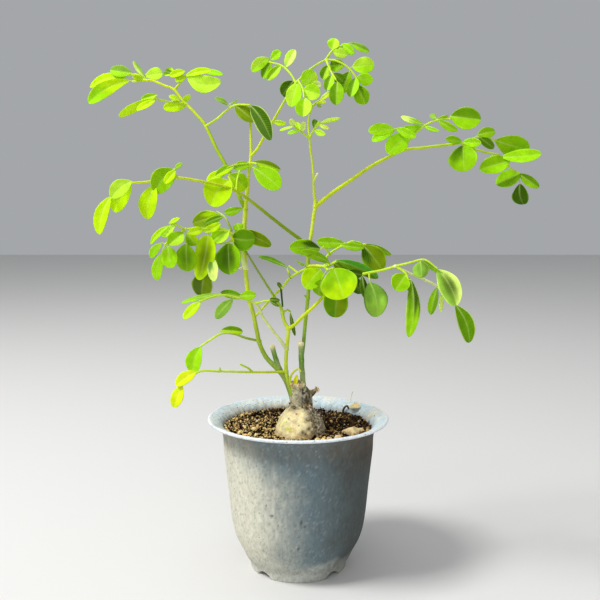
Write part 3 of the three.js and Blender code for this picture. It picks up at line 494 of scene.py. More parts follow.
@dataclass(frozen=True)
class LeafPaint:
    """The colours of one blade.

    Attributes:
        tone: the whole blade, or its right-hand half, looking from base to tip.
        left: the left-hand half, where it differs, mostly as painted light and shade on a folded blade.
        far: the outer part, where it differs.
        heart: the middle, where it differs.
        rim: the edge, where it differs.
    """

    tone: Tone
    left: Tone | None = None
    far: Tone | None = None
    heart: Tone | None = None
    rim: Tone | None = None

    LIGHTNESS_SPREAD = 0.04

    def colour(
        self, s: np.ndarray, c: np.ndarray, reach: np.ndarray, is_front: np.ndarray,
        chance: np.random.Generator,
    ) -> np.ndarray:
        """Colours over a blade: halves, tip, middle and rim blend into each other, and the rib is pale.

        Args:
            s: share along the blade.
            c: share across it, 1 at the right-hand rim and -1 at the left-hand rim.
            reach: millimetres across it.
            is_front: whether a point lies on the front.
            chance: the source of its small random differences.

        Returns:
            Linear colours, (rows, columns, 4).
        """
        s, c = np.broadcast_arrays(s, c)
        rim = np.abs(c)
        front = coated(
            np.broadcast_to(self.tone.linear, (*s.shape, 4)),
            # A left half that differs mostly paints light on one half of a folded blade and shade on the
            # other.
            (self.left, 0.85 * eased(-c, -0.14, 0.14)),
            (self.far, eased(s + 0.1 * np.sin(9 * c), 0.42, 0.7)),
            (self.heart, (1 - eased(rim, 0.25, 0.8)) * np.sin(np.pi * s)),
            (self.rim or Tone.PALE, (0.9 if self.rim else 0.42) * eased(rim, 0.88, 1.0)),
            (Tone.RIB, 0.5 * bell(reach, 0, 0.3) * (1 - 0.8 * s)),
        )
        back = coated(front, (Tone.GLAUCOUS, np.full(s.shape, 0.12)))
        lightness = np.append(np.full(3, 1 + chance.normal(0, self.LIGHTNESS_SPREAD)), 1.0)
        return np.where(is_front[..., None], front, back) * lightness


@dataclass(frozen=True)
class Leaflet:
    """One leaflet of a frond, measured on the upright plane through the pot's axis.

    Attributes:
        base_across: its base, to the right of the pot's axis.
        base_up: its base, above the floor.
        tip_across: its tip, to the right of the pot's axis.
        tip_up: its tip, above the floor.
        width: its width, in millimetres.
        nearer: how far its tip stands in front of its base.
        roll: degrees that it is turned about its own length.
        tone: its main tone; left, far, heart and rim are others, as LeafPaint has them.
        bow: how far its middle curves out to the right-hand side, looking from its base to its tip.
        fold: how high its edges stand, as a share of its half width.
        widest: the share of its length where it is widest.
    """

    base_across: float
    base_up: float
    tip_across: float
    tip_up: float
    width: float
    nearer: float
    roll: float
    tone: Tone
    left: Tone | None = None
    far: Tone | None = None
    heart: Tone | None = None
    rim: Tone | None = None
    bow: float = Blade.bow
    fold: float = Blade.fold
    widest: float = Blade.widest

    STALK_RADII = (0.22, 0.42)
    STALK_SIDES = 6
    STALK_SPACING = 0.4
    STALK_REACH = 1.6

    def surfaces(self, root: np.ndarray, chance: np.random.Generator) -> list[Surface]:
        """The leaflet's blade and its short stalk, which runs on a little way behind the blade.

        Args:
            root: across, up and depth of the place on the twig that the stalk grows from.
            chance: the source of its small random differences.

        Returns:
            The blade and the stalk.
        """
        base = seen(self.base_across, self.base_up, root[2])
        tip = seen(self.tip_across, self.tip_up, root[2] + self.nearer)
        axis = unit(tip - base)
        side = unit(np.cross(axis, EYE - base))
        turn = math.radians(self.roll)
        side = side * math.cos(turn) + np.cross(axis, side) * math.sin(turn)
        facing = np.cross(side, axis)
        blade = Blade(base, tip, facing, self.width, self.widest, self.bow, self.fold)
        shell = blade.surface(LeafPaint(self.tone, self.left, self.far, self.heart, self.rim), chance)

        inside = base + axis * min(self.STALK_REACH, 0.2 * np.linalg.norm(tip - base)) - facing * 0.1
        thick = float(np.clip(0.2 + 0.016 * self.width, *self.STALK_RADII))
        middle = smooth_line(np.stack([seen(*root), base - facing * 0.05, inside]), self.STALK_SPACING)
        radii = np.linspace(thick, 0.6 * thick, len(middle))
        return [shell, tube(middle, radii, self.STALK_SIDES, Tone.STALK.linear)]


@dataclass(frozen=True)
class Twig:
    """One petiole, rachis or side twig of a frond.

    Attributes:
        nearer: how far its tip stands in front of its start.
        thick: its radius at its start.
        thin: its radius at its tip.
        points: across and up of points along it.
        tone: its colour at its start.
        tip_tone: its colour at its tip.
    """

    nearer: float
    thick: float
    thin: float
    points: tuple[tuple[float, float], ...]
    tone: Tone = Tone.STALK
    tip_tone: Tone = Tone.STALK

    SIDES = 8
    SPACING = 0.8
    STOUTNESS = 1.32
    THINNING = 0.17
    SWELL = 0.3
    SWELL_LENGTH = 1.2

    def traced(self, start: np.ndarray) -> np.ndarray:
        """Its points with their depths: it comes evenly nearer from where it starts.

        Args:
            start: across, up and depth of the place that it grows from.

        Returns:
            Rows of across, up and depth.
        """
        flat = np.array([tuple(start[:2]), *self.points[1:]])
        way = travelled(flat)
        return np.column_stack([flat, start[2] + self.nearer * way / way[-1]])

    def surface(self, traced: np.ndarray) -> Surface:
        """The twig as a stem that thins evenly, a little stouter than measured, and swells where it starts.

        Args:
            traced: rows of across, up and depth.

        Returns:
            The closed twig.
        """
        line = smooth_line(seen(*traced.T), self.SPACING)
        share = np.linspace(0, 1, len(line))
        radii = self.thick + (self.thin - self.thick) * share
        radii = radii * (self.STOUTNESS - self.THINNING * share)
        radii = radii * (1 + self.SWELL * np.exp(-share * travelled(line)[-1] / self.SWELL_LENGTH))
        colour = coated(self.tone.linear, (self.tip_tone, eased(share, 0.2, 0.8)))
        return tube(line, radii, self.SIDES, colour)


def nearest_on(lines: Sequence[np.ndarray], across: float, up: float) -> np.ndarray:
    """The place on traced lines that looks nearest to a point.

    Args:
        lines: traced lines, rows of across, up and depth.
        across: where the point is, to the right of the pot's axis.
        up: where the point is, above the floor.

    Returns:
        Across, up and depth of the nearest place.
    """
    starts = np.concatenate([line[:-1, :3] for line in lines])
    steps = np.concatenate([np.diff(line[:, :3], axis=0) for line in lines])
    offset = np.array([across, up]) - starts[:, :2]
    share = np.clip(np.sum(offset * steps[:, :2], axis=1) / np.sum(steps[:, :2] ** 2, axis=1), 0, 1)
    places = starts + share[:, None] * steps
    distance = np.linalg.norm(places[:, :2] - (across, up), axis=1)
    return places[np.argmin(distance)]


@dataclass(frozen=True)
class StemRun:
    """One length of a stem, or a stub on it.

    Attributes:
        points: across, up, depth and radius of points along it.
        tones: its tones, from its start to its end.
        bark: how rough its surface is, as a share of its radius.
        cut: whether its end is a cut, with a pale ragged top.
        scars: heights of the leaf scars on it.
    """

    points: tuple[tuple[float, float, float, float], ...]
    tones: tuple[Tone, ...]
    bark: float = 0.02
    cut: bool = False
    scars: tuple[float, ...] = ()

    SIDES = 18
    SPACING = 0.45
    STOUTNESS = 1.05
    SCAR = 0.22
    CUT_SWELL = 0.16
    CUT_RAGGEDNESS = 0.25

    def surface(self, seed: int) -> Surface:
        """The run as a stem with fine ridges, leaf scars and, where it was cut, a swollen pale end.

        The radius follows the measured one, times 1 plus the bark's noise, plus a narrow swelling at each
        scar and below a cut.

        Args:
            seed: which noise its bark uses.

        Returns:
            The closed stem.
        """
        rows = smooth_line(np.array(self.points), self.SPACING)
        line = seen(*rows[:, :3].T)
        radii = np.maximum(rows[:, 3] * self.STOUTNESS, 0.2)
        way = travelled(line)
        left_over = way[-1] - way
        round_place = around(3.0, turns(self.SIDES), way[:, None] * 0.45)
        relief = 1 + self.bark * (noise(round_place, 1.1, seed) + 0.6 * noise(round_place * 2, 1.3, seed + 1))
        for height in self.scars:
            relief = relief + self.SCAR * bell(rows[:, 1], height, 0.7)[:, None]
        places = np.linspace(0, 1, len(self.tones))
        share = np.linspace(0, 1, len(rows))
        tones = np.array([tone.linear for tone in self.tones])
        colour = np.column_stack([np.interp(share, places, tones[:, k]) for k in range(4)])
        if self.cut:
            ragged = self.CUT_RAGGEDNESS * noise(round_place * 2.2, 0.8, seed + 2)
            relief = relief + self.CUT_SWELL * bell(left_over, 0, 1.1)[:, None]
            relief = relief + ragged * bell(left_over, 0, 0.9)[:, None]
            colour = coated(colour, (Tone.PALE_CUT, bell(left_over, 0, 1.3)))
        return tube(line, radii, self.SIDES, colour, relief)


STEMS = {
    "stem_left": (
        StemRun(
            (
                (-3.4, 98.5, 6.4, 1.5), (-4.4, 102.5, 6.2, 1.5), (-5.6, 106.2, 5.8, 1.5),
                (-8.5, 112.4, 5.3, 1.5), (-13.2, 118, 4.9, 1.4), (-17.8, 122.7, 4.4, 1.3),
                (-21.7, 130, 3.8, 1.2), (-24.1, 140, 3, 1.15), (-26.1, 150, 2.2, 1.15),
                (-28, 156.5, 1.6, 1.2), (-29.6, 168.6, 0.8, 1.2), (-30.6, 184.2, 0, 1.2),
                (-30.6, 197, -1, 1.2), (-29.9, 208.7, -2, 1.2), (-28.8, 219, -2.6, 1.05),
                (-27.8, 230, -3.4, 0.9), (-26.5, 240, -4.2, 0.85), (-26.5, 246, -4.8, 0.75),
                (-26.9, 258, -6, 0.6),
            ),
            (Tone.STUB_BARK, Tone.STEM_GREEN, *[Tone.STEM_YELLOW] * 4),
            scars=(132.9, 156.5, 185.2, 209, 234.4),
        ),
        StemRun(
            ((-8.5, 112.4, 5.3, 1.4), (-11, 117.4, 4.8, 1.4), (-13.4, 124, 4, 1.35), (-15, 130, 3.2, 1.35)),
            (Tone.STEM_DARK, Tone.STUB_BARK, Tone.STEM_DARK, Tone.STUB_BARK),
            bark=0.07, cut=True,
        ),
        StemRun(
            ((-30.4, 176.4, 0.4, 0.5), (-33.5, 175, 1.4, 0.5)), (Tone.STEM_YELLOW, Tone.SILVER), cut=True,
        ),
    ),
    "stem_middle": (
        StemRun(
            (
                (-3.6, 101.5, 10.4, 1.1), (-5.7, 108.5, 9.4, 1.15), (-7, 115.7, 8.4, 1.05),
                (-6.9, 126, 7.4, 1), (-6.1, 134.4, 6.6, 1), (-5.8, 140.1, 6.2, 1.05),
                (-7.8, 144.1, 6, 0.95), (-10.1, 152.8, 5.6, 0.85), (-13.1, 157.9, 5.3, 0.7),
                (-20.1, 169, 5, 0.6), (-24.5, 176, 4.8, 0.55), (-29.6, 184.5, 4.8, 0.5),
                (-34, 190.2, 5.4, 0.5),
            ),
            (
                Tone.STEM_GREEN, Tone.STEM_YELLOW, Tone.STEM_YELLOW, Tone.STEM_GREEN, Tone.SHADED_STALK,
                Tone.SHADED_STALK,
            ),
            scars=(115.3, 128.3, 140.3, 149.4),
        ),
    ),
    "stem_right": (
        StemRun(
            (
                (3.4, 102, 6, 1.5), (2.9, 108, 6, 1.45), (2.2, 115.8, 5.8, 1.45), (1.7, 126, 5.4, 1.45),
                (1.5, 131.6, 5.2, 1.4),
            ),
            (Tone.STUB_BARK, Tone.STUB_BARK, Tone.STEM_DARK, Tone.STUB_BARK),
            bark=0.08, cut=True,
        ),
        StemRun(
            (
                (2, 123, 4.6, 1), (3.1, 132, 3.4, 1), (3.7, 140, 3.4, 1), (4.7, 150, 3.5, 1),
                (5.8, 162, 3.6, 1), (5.6, 176.7, 4, 1.1), (5.6, 181.7, 4, 1), (7.8, 197.2, 3.6, 0.95),
                (8.8, 205.2, 3.2, 0.95), (9.6, 209.7, 3, 1.05), (8.8, 220, 2.2, 0.7), (8.4, 230, 1.4, 0.6),
                (6.3, 248.4, 0, 0.6), (6, 260, -1.6, 0.5), (8.3, 266.5, -2.6, 0.45),
            ),
            (Tone.STEM_DARK, Tone.STEM_GREEN, Tone.STEM_GREEN, *[Tone.STEM_YELLOW] * 3, Tone.STALK),
            scars=(158, 176.4, 187, 210.2, 248.5),
        ),
        StemRun(((5.7, 158, 3.5, 0.7), (3.7, 159.6, 4, 0.5)), (Tone.STEM_GREEN, Tone.STEM_GREEN)),
        StemRun(
            ((8.6, 223.5, 2, 0.5), (9.3, 225.7, 2.6, 0.5), (10.9, 228.9, 4, 0.45)),
            (Tone.STEM_YELLOW, Tone.SILVER), cut=True,
        ),
    ),
}


@dataclass(frozen=True)
class Frond:
    """One compound leaf: its twigs and its leaflets.

    Attributes:
        name: the CAD node that it stands for.
        stem: the stem that carries it.
        twigs: its petiole and side twigs, each of which starts on an earlier one.
        leaflets: its leaflets.
    """

    name: str
    stem: str
    twigs: tuple[Twig, ...]
    leaflets: tuple[Leaflet, ...]

    def surface(self, chance: np.random.Generator) -> Surface:
        """The whole frond.

        Args:
            chance: the source of its leaflets' small random differences.

        Returns:
            Twigs, leaflet stalks and blades as one shape.
        """
        stem_lines = [np.array(run.points) for run in STEMS[self.stem]]
        lines: list[np.ndarray] = []
        shapes: list[Surface] = []
        for twig in self.twigs:
            start = nearest_on(lines or stem_lines, *twig.points[0])
            lines.append(twig.traced(start))
            shapes.append(twig.surface(lines[-1]))
        for leaf in self.leaflets:
            shapes += leaf.surfaces(nearest_on(lines, leaf.base_across, leaf.base_up), chance)
        return joined(shapes)


FRONDS = (
    Frond(
        "frond_top_left", "stem_left",
        (
            Twig(-34, 0.9, 0.55, (
                (-30.8, 209), (-33, 215), (-36.2, 223.6), (-41.2, 234), (-46.4, 243.5), (-50, 251.5),
                (-52.4, 256.2), (-57.6, 262.2), (-66, 271), (-69, 275), (-75, 277.5), (-81, 280),
                (-92, 279.5),
            ), Tone.STEM_GREEN, Tone.STEM_YELLOW),
            Twig(20, 0.55, 0.45, (
                (-51.8, 255), (-44.8, 259.6), (-39.8, 263.9), (-36.3, 266.2), (-27, 266.8),
            )),
            Twig(10, 0.5, 0.45, ((-62.5, 266.5), (-66, 267.8), (-72, 268.3), (-80.5, 270.3))),
            Twig(-10, 0.5, 0.45, (
                (-69, 275), (-66.3, 278.2), (-62.3, 283), (-56, 283.6),
            ), Tone.STEM_YELLOW, Tone.STEM_YELLOW),
            Twig(-5, 0.45, 0.45, ((-84, 280), (-90, 283.4), (-94.5, 283))),
        ),
        (
            Leaflet(-39.2, 266.8, -46.5, 270.5, 4.5, 3, 50, Tone.SAGE),
            Leaflet(-38.4, 267.2, -33.3, 269.8, 3, -3, 70, Tone.PALE, left=Tone.SAGE),
            Leaflet(-35.4, 266.8, -24.4, 257.6, 8.4, 4, -10, Tone.OLIVE),
            Leaflet(-26.5, 266.2, -15.2, 247.6, 9.8, 16, 20, Tone.DARK, rim=Tone.SILVER, bow=-1.8),
            Leaflet(-79.6, 269.4, -90.3, 263.7, 4.6, 8, 30, Tone.YELLOW),
            Leaflet(-81.4, 270.2, -100.3, 260.5, 5.5, -4, -20, Tone.YELLOW, bow=0.8),
            Leaflet(-78.8, 272.2, -87.8, 269.6, 4.2, 0, 20, Tone.MID, left=Tone.YELLOW),
            Leaflet(-62.2, 266.6, -75.4, 265.2, 6.8, 1, 10, Tone.YELLOW),
            Leaflet(-66.1, 269.1, -72.1, 271.5, 4, 2, 40, Tone.YELLOW),
            Leaflet(-64.4, 268.9, -60.2, 272.2, 3.6, 2, 20, Tone.YELLOW),
            Leaflet(-68.9, 283.5, -74.2, 285.1, 6.4, -5, 25, Tone.YELLOW, far=Tone.GREEN, heart=Tone.DARK),
            Leaflet(-62.9, 285.2, -71.3, 282.4, 5.2, 4, 30, Tone.YELLOW),
            Leaflet(-62.7, 282.4, -68.4, 279.5, 4.6, 4, 20, Tone.LIME),
            Leaflet(-62.9, 282.4, -48, 285.4, 4.6, 3, -20, Tone.YELLOW, bow=-0.8),
            Leaflet(-54.3, 284.8, -41.8, 283.2, 3.6, 3, -20, Tone.SPRING, bow=-0.4),
            Leaflet(-62, 282.1, -43.1, 279, 10.4, 3, -10, Tone.PALE, left=Tone.PALE, bow=3),
            Leaflet(-85.8, 282.4, -75.4, 284.1, 7.8, -1, -20, Tone.PALE, widest=0.64),
            Leaflet(-84.8, 281.3, -91.6, 290.6, 3.2, -2, 15, Tone.SAGE, left=Tone.SILVER, bow=-0.6),
            Leaflet(-86.4, 280.5, -92.2, 281.9, 3.8, 4, 20, Tone.YELLOW),
            Leaflet(-92.5, 284.1, -104.4, 285.7, 7.2, -2, 10, Tone.SAGE, left=Tone.SPRING),
            Leaflet(-95, 281.5, -116, 276.5, 6, -6, 20, Tone.YELLOW, bow=2.5),
            Leaflet(
                -93.3, 280, -117.2, 268, 9.4, 7, 14, Tone.YELLOW, far=Tone.SPRING, bow=2.2, widest=0.62,
            ),
            Leaflet(-31.5, 209.3, -41.9, 207, 4.8, -3, 10, Tone.MID, bow=-0.5),
        ),
    ),
    Frond(
        "frond_top", "stem_left",
        (
            Twig(12, 0.6, 0.45, (
                (-26.3, 238.5), (-24.9, 240.2), (-19.2, 249.2), (-14.7, 256.8), (-7, 270), (-2, 278),
                (2, 282), (6.5, 286), (10, 288.5), (15.3, 291.3),
            ), Tone.STEM_YELLOW),
            Twig(-9, 0.45, 0.45, ((15.3, 291.3), (19.3, 296.5), (24.3, 299), (28, 300))),
            Twig(5, 0.45, 0.45, ((15.3, 291.3), (20, 291), (27.5, 287.3), (31.8, 282.3), (33.8, 278))),
            Twig(12, 0.45, 0.45, ((15.5, 291), (18, 285.5), (21, 280.5))),
            Twig(-12, 0.45, 0.45, ((-1.5, 279), (-4.5, 284), (-9, 288), (-17.5, 290.3))),
            Twig(8, 0.45, 0.45, ((0.3, 279.8), (2.8, 275), (3.2, 270.8))),
        ),
        (
            Leaflet(-14.3, 257.4, -6.8, 256.6, 3.2, 4, 20, Tone.YELLOW),
            Leaflet(18.8, 296.6, 20.4, 302.8, 6.8, 0, -10, Tone.PALE, left=Tone.SPRING),
            Leaflet(19.2, 295.6, 27.2, 294, 5.6, 0, -10, Tone.PALE),
            Leaflet(24.3, 299.8, 31.4, 294.9, 5.4, 4, 25, Tone.SPRING),
            Leaflet(28.4, 300.4, 39.4, 295.6, 4, -1, -12, Tone.SPRING, left=Tone.SAGE),
            Leaflet(26, 288.6, 17.7, 288, 7, -5, 10, Tone.GREEN, left=Tone.MID),
            Leaflet(30, 287.4, 42.2, 288.8, 9, 0, -10, Tone.SPRING, left=Tone.PALE),
            Leaflet(28.6, 285, 24.3, 273.6, 8.6, -5, 15, Tone.GREEN, left=Tone.MID),
            Leaflet(32.2, 281.6, 29.3, 271, 7, 5, 20, Tone.GREEN, left=Tone.SPRING),
            Leaflet(32.9, 282.2, 41.6, 280, 7.2, 0, 20, Tone.SPRING),
            Leaflet(33.2, 277.2, 37.8, 267.2, 9, 3, 15, Tone.MID, left=Tone.GREEN),
            Leaflet(17, 288.5, 13.6, 280.8, 6.2, -4, 25, Tone.GREEN, left=Tone.PALE),
            Leaflet(18.8, 283, 16, 274.6, 5.8, 4, 20, Tone.GREEN, left=Tone.SPRING),
            Leaflet(19.4, 284, 25.3, 279.4, 6, -6, 10, Tone.GREEN),
            Leaflet(21.8, 279.4, 21.2, 266.8, 8.4, 4, 12, Tone.GREEN, left=Tone.MID, rim=Tone.BRIGHT),
            Leaflet(-7, 287.2, -1.8, 296.8, 6, 1, -20, Tone.SILVER, left=Tone.PALE),
            Leaflet(-9.6, 288.2, -17.3, 280.3, 5.2, 4, 10, Tone.MID, left=Tone.PALE),
            Leaflet(-15, 290, -19.8, 281.4, 6, -5, 15, Tone.GREEN, left=Tone.SPRING),
            Leaflet(-16.2, 292.2, -25.9, 285, 6.6, 3, 5, Tone.PALE, left=Tone.SPRING, bow=0.8),
            Leaflet(-15.2, 291.3, -9.8, 296, 5.2, 1, -10, Tone.SPRING),
            Leaflet(-2.5, 279.8, -8.8, 272, 8.5, -6, 15, Tone.DARK),
            Leaflet(-0.6, 278.8, -4.2, 265.7, 8.6, 6, 2, Tone.PALE, left=Tone.SPRING),
            Leaflet(2.6, 277.6, 9, 285.2, 9.8, 2, 15, Tone.PALE, left=Tone.SPRING),
            Leaflet(3.2, 275.2, 12.4, 272.6, 9, 4, 8, Tone.PALE, left=Tone.SPRING),
            Leaflet(
                7, 277.6, 12.9, 277.7, 4.4, 0, -10, Tone.CREAM_GREEN, left=Tone.YELLOW,
                far=Tone.CREAM_GREEN,
            ),
            Leaflet(3.6, 270.6, 2.8, 260.3, 9.4, 4, 12, Tone.BRIGHT, left=Tone.PALE),
        ),
    ),
    Frond(
        "frond_apex", "stem_right",
        (Twig(-3, 0.45, 0.45, ((8.3, 266.5), (10, 268), (12, 269))),),
        (
            Leaflet(12, 269, 18.8, 274.2, 3, 0, -20, Tone.LEMON, left=Tone.SILVER),
            Leaflet(10, 267.4, 15.5, 268.7, 2.2, 3, 10, Tone.LEMON),
            Leaflet(10.4, 267.2, 12.8, 265.6, 1.6, 3, 20, Tone.OLIVE),
        ),
    ),
    Frond(
        "frond_apex_left", "stem_right",
        (Twig(5, 0.45, 0.45, ((6.2, 248.5), (2.1, 251.6), (-2.4, 254.9))),),
        (
            Leaflet(0.5, 252.4, -6, 250.9, 2.4, 3, 20, Tone.SPRING),
            Leaflet(1.2, 253, -1.2, 257.3, 3.2, -3, 20, Tone.LIME),
            Leaflet(2.2, 252, 3.2, 257.8, 3.2, 4, 10, Tone.SILVER, left=Tone.SILVER),
            Leaflet(-2.6, 255.4, -4.3, 259, 3.6, 3, 10, Tone.SILVER),
            Leaflet(-2.8, 254.8, -10.6, 252.6, 1.8, -3, 20, Tone.PALE),
        ),
    ),
    Frond(
        "frond_apex_right", "stem_right",
        (Twig(5, 0.45, 0.45, ((6.4, 248.6), (8.8, 253), (12, 256.5))),),
        (
            Leaflet(8.8, 253.9, 9.5, 258.8, 4, -3, 20, Tone.GREEN),
            Leaflet(9, 254, 12, 258.2, 1.4, 3, 20, Tone.PALE),
            Leaflet(12.4, 257, 23.6, 259.3, 2.8, 0, -20, Tone.YELLOW, left=Tone.SILVER),
            Leaflet(11.5, 255.8, 17.3, 253.8, 2.6, 3, 20, Tone.SILVER, left=Tone.LEMON),
            Leaflet(9, 252.6, 15.2, 250.6, 3.8, 4, 20, Tone.PALE),
        ),
    ),
    Frond(
        "frond_left_high", "stem_right",
        (
            Twig(34, 0.8, 0.5, (
                (6.2, 187), (2.4, 190.8), (-4.7, 196), (-15, 204), (-25, 212), (-32.5, 217.5), (-36, 219.5),
                (-40, 221), (-56, 224.7), (-68.5, 226.5), (-84.3, 224.3), (-93.5, 223.6),
            ), Tone.SHADED_STALK, Tone.STEM_YELLOW),
            Twig(-3, 0.45, 0.45, ((-36, 219.5), (-38.5, 225.5), (-39.3, 227))),
            Twig(-5, 0.45, 0.45, ((-35, 219), (-34.5, 225), (-33, 230.3))),
            Twig(4, 0.45, 0.45, ((-68.3, 226.5), (-69.8, 229.5), (-69.3, 231.5))),
        ),
        (
            Leaflet(-38.6, 225, -49.6, 210.8, 15.6, 9, 10, Tone.LIME, bow=1.6),
            Leaflet(-38.6, 228.4, -29.5, 220.2, 10.4, -4, -20, Tone.LIME, left=Tone.BRIGHT),
            Leaflet(-94.2, 224.6, -106, 215.4, 8.8, 6, 15, Tone.PALE, bow=0.8),
            Leaflet(-94.4, 223.2, -104.6, 207.5, 9.8, -3, 15, Tone.YELLOW, bow=0.8),
            Leaflet(-105.9, 216.2, -113.2, 194.5, 7.4, 8, 15, Tone.YELLOW, bow=1.6),
            Leaflet(
                -70.2, 231.2, -81.2, 218.2, 11.6, 1, 5, Tone.MID, left=Tone.BRIGHT, bow=1.2, widest=0.5,
            ),
            Leaflet(-69.2, 230.6, -75.4, 223.2, 4.8, 6, 10, Tone.YELLOW),
            Leaflet(-69.6, 231.4, -65.2, 234.6, 2.6, 2, -20, Tone.MID),
            Leaflet(-80.9, 222.6, -85.8, 203.3, 9.8, 3, 15, Tone.LIME, bow=1.2),
        ),
    ),
    Frond(
        "frond_upper_left", "stem_left",
        (Twig(7, 0.5, 0.45, ((-27.2, 234.4), (-36, 233.4), (-40, 232))),),
        (
            Leaflet(-27.3, 234.2, -36.2, 231.6, 5.8, 5, 20, Tone.MID, left=Tone.BRIGHT),
            Leaflet(-36.2, 233.3, -46.6, 227.6, 5, 6, 20, Tone.MID, left=Tone.YELLOW),
            Leaflet(-41.1, 230.1, -51.5, 224.5, 5.8, 2, 20, Tone.YELLOW),
            Leaflet(-41, 228.5, -46.5, 226.5, 2, -2, 20, Tone.PALE),
        ),
    ),
    Frond(
        "frond_upper_right", "stem_left",
        (Twig(3, 0.5, 0.45, ((-26.9, 234.4), (-24.6, 234.6), (-23.4, 234.2))),),
        (
            Leaflet(-26, 235.2, -10, 230.7, 5, -3, -20, Tone.LIME, left=Tone.OLIVE, bow=-0.5),
            Leaflet(
                -25.8, 232.4, -10.4, 220.4, 12, 8, -10, Tone.MID, left=Tone.BRIGHT, far=Tone.BRIGHT,
                bow=-0.6, widest=0.62,
            ),
        ),
    ),
    Frond(
        "frond_left_cluster", "stem_left",
        (
            # Painted highlight: this petiole's cream and lemon tones.
            Twig(9, 1.05, 0.55, (
                (-30.4, 175.5), (-32.4, 182), (-36.4, 189.6), (-38, 194), (-38, 196.8),
            ), Tone.CREAM_GREEN, Tone.LEMON),
            Twig(14, 0.5, 0.45, (
                (-38, 194.4), (-40, 196), (-48, 197), (-60, 198), (-64, 197.6), (-69.5, 200.3),
            )),
            Twig(4, 0.45, 0.45, ((-64, 197.6), (-70, 193.6), (-75.8, 189))),
            Twig(-3, 0.45, 0.4, (
                (-38.3, 196.9), (-39.5, 200.5), (-40.9, 203.6), (-42.6, 205.3), (-46, 207.5),
            ), Tone.SHADED_STALK, Tone.RIB),
            Twig(6, 0.45, 0.45, ((-37.6, 191.5), (-41, 189.5), (-46.5, 189.5), (-51, 188))),
        ),
        (
            Leaflet(
                -39.8, 189.4, -39.2, 171.7, 14.8, 6, 14, Tone.GREEN, left=Tone.MID, heart=Tone.DARK,
                rim=Tone.BRIGHT, widest=0.5,
            ),
            Leaflet(
                -48.8, 181.4, -48, 167.8, 6.4, 8, 20, Tone.GLAUCOUS, left=Tone.SILVER, far=Tone.SILVER,
                rim=Tone.CREAM_GREEN, fold=0.3,
            ),
            Leaflet(-39.1, 196.9, -49.4, 190.6, 8.8, 3, 20, Tone.MID, left=Tone.PALE),
            Leaflet(-54.6, 196.2, -44.2, 200.8, 4.6, -5, -10, Tone.YELLOW, bow=0.8),
            Leaflet(-69.6, 201.3, -73.2, 201, 2.2, -3, 20, Tone.YELLOW),
            Leaflet(-73.4, 200.8, -67.2, 203.8, 2.6, 1, -10, Tone.YELLOW),
            Leaflet(-69.9, 199.8, -77.5, 193.4, 5, -3, 20, Tone.PALE),
            Leaflet(-73.4, 199.5, -84.1, 189.2, 3.6, -5, 20, Tone.LIME, left=Tone.SPRING, bow=0.8),
            Leaflet(-65.2, 195.3, -73.8, 188.5, 8.6, 7, 20, Tone.MID, left=Tone.PALE),
            Leaflet(-63.3, 195.1, -54.3, 197.3, 4.8, -4, -12, Tone.YELLOW),
            Leaflet(-63.6, 194.8, -57.5, 188.7, 6.8, -5, 20, Tone.MID, left=Tone.LIME),
            Leaflet(-77.4, 189.8, -84.2, 181.2, 4.6, -4, 0, Tone.SPRING, bow=0.9),
            Leaflet(-77.8, 184, -81, 168.4, 6, -5, 0, Tone.SPRING, bow=0.9),
            Leaflet(-74.4, 188, -72.3, 175.4, 9.2, 4, 15, Tone.MID, left=Tone.BRIGHT, far=Tone.SPRING),
            Leaflet(
                -63.8, 189.2, -63.6, 173.6, 12, -5, 14, Tone.MID, heart=Tone.GREEN, rim=Tone.BRIGHT,
                widest=0.5,
            ),
            Leaflet(
                -51.4, 194.2, -57, 168.6, 11.6, -2, 8, Tone.LIME, left=Tone.YELLOW, far=Tone.YELLOW,
                heart=Tone.OLIVE, bow=-1, widest=0.4,
            ),
            Leaflet(-52.8, 175, -55.2, 159, 12, -9, 8, Tone.GREY, left=Tone.OLIVE, bow=0.6),
            Leaflet(
                -43.2, 204.6, -60, 200.8, 9.4, -1, 10, Tone.LIME, left=Tone.OLIVE, far=Tone.OLIVE, bow=0.6,
            ),
            Leaflet(-42.6, 204.7, -53, 200.7, 4.2, 4, 20, Tone.GREEN, rim=Tone.PALE),
        ),
    ),
    Frond(
        "frond_centre", "stem_middle",
        (Twig(2, 0.5, 0.5, ((-34, 190.2), (-36, 192), (-36.6, 194.4))),),
        (
            Leaflet(-37.6, 192.7, -24.5, 192, 13, 4, 8, Tone.GREEN, heart=Tone.GREEN, bow=0.8),
            Leaflet(-35.7, 196.6, -15.4, 188.3, 8, -1, 20, Tone.OLIVE, rim=Tone.LIME, bow=-1.2),
            Leaflet(-33.2, 196.2, -34.9, 200.7, 6, -2, 0, Tone.MID, rim=Tone.SAGE),
        ),
    ),
    Frond(
        "frond_low_left", "stem_left",
        (
            Twig(-16, 0.55, 0.5, (
                (-24.2, 132.9), (-29.5, 134.8), (-38, 137.6), (-44.5, 137.5), (-49.8, 134.5), (-56, 130.4),
            ), Tone.SHADED_STALK),
        ),
        (
            Leaflet(-44.6, 139.6, -32, 138.6, 5.6, -4, -20, Tone.LIME, left=Tone.GREEN),
            Leaflet(-56.2, 130.1, -61, 114, 10, -3, 15, Tone.SPRING, bow=1.6),
        ),
    ),
    Frond(
        "frond_low_front", "stem_middle",
        (
            Twig(20, 0.55, 0.5, (
                (-7.2, 115.3), (-12.8, 115.1), (-28, 115), (-45.6, 115.4), (-57.7, 115.1), (-64, 111),
                (-67.5, 108),
            ), Tone.STEM_YELLOW, Tone.STALK),
            Twig(5, 0.45, 0.45, ((-26.5, 115.4), (-28, 116.5), (-33.5, 119.5))),
            Twig(1, 0.45, 0.45, ((-45.5, 116), (-45.5, 117.6))),
        ),
        (
            Leaflet(-59, 115.3, -71.1, 107, 7, 5, 15, Tone.LEMON, bow=0.5),
            Leaflet(-67.5, 107.4, -72.5, 94, 7, 3, 15, Tone.LEMON),
        ),
    ),
    Frond(
        "frond_low_middle", "stem_middle",
        (
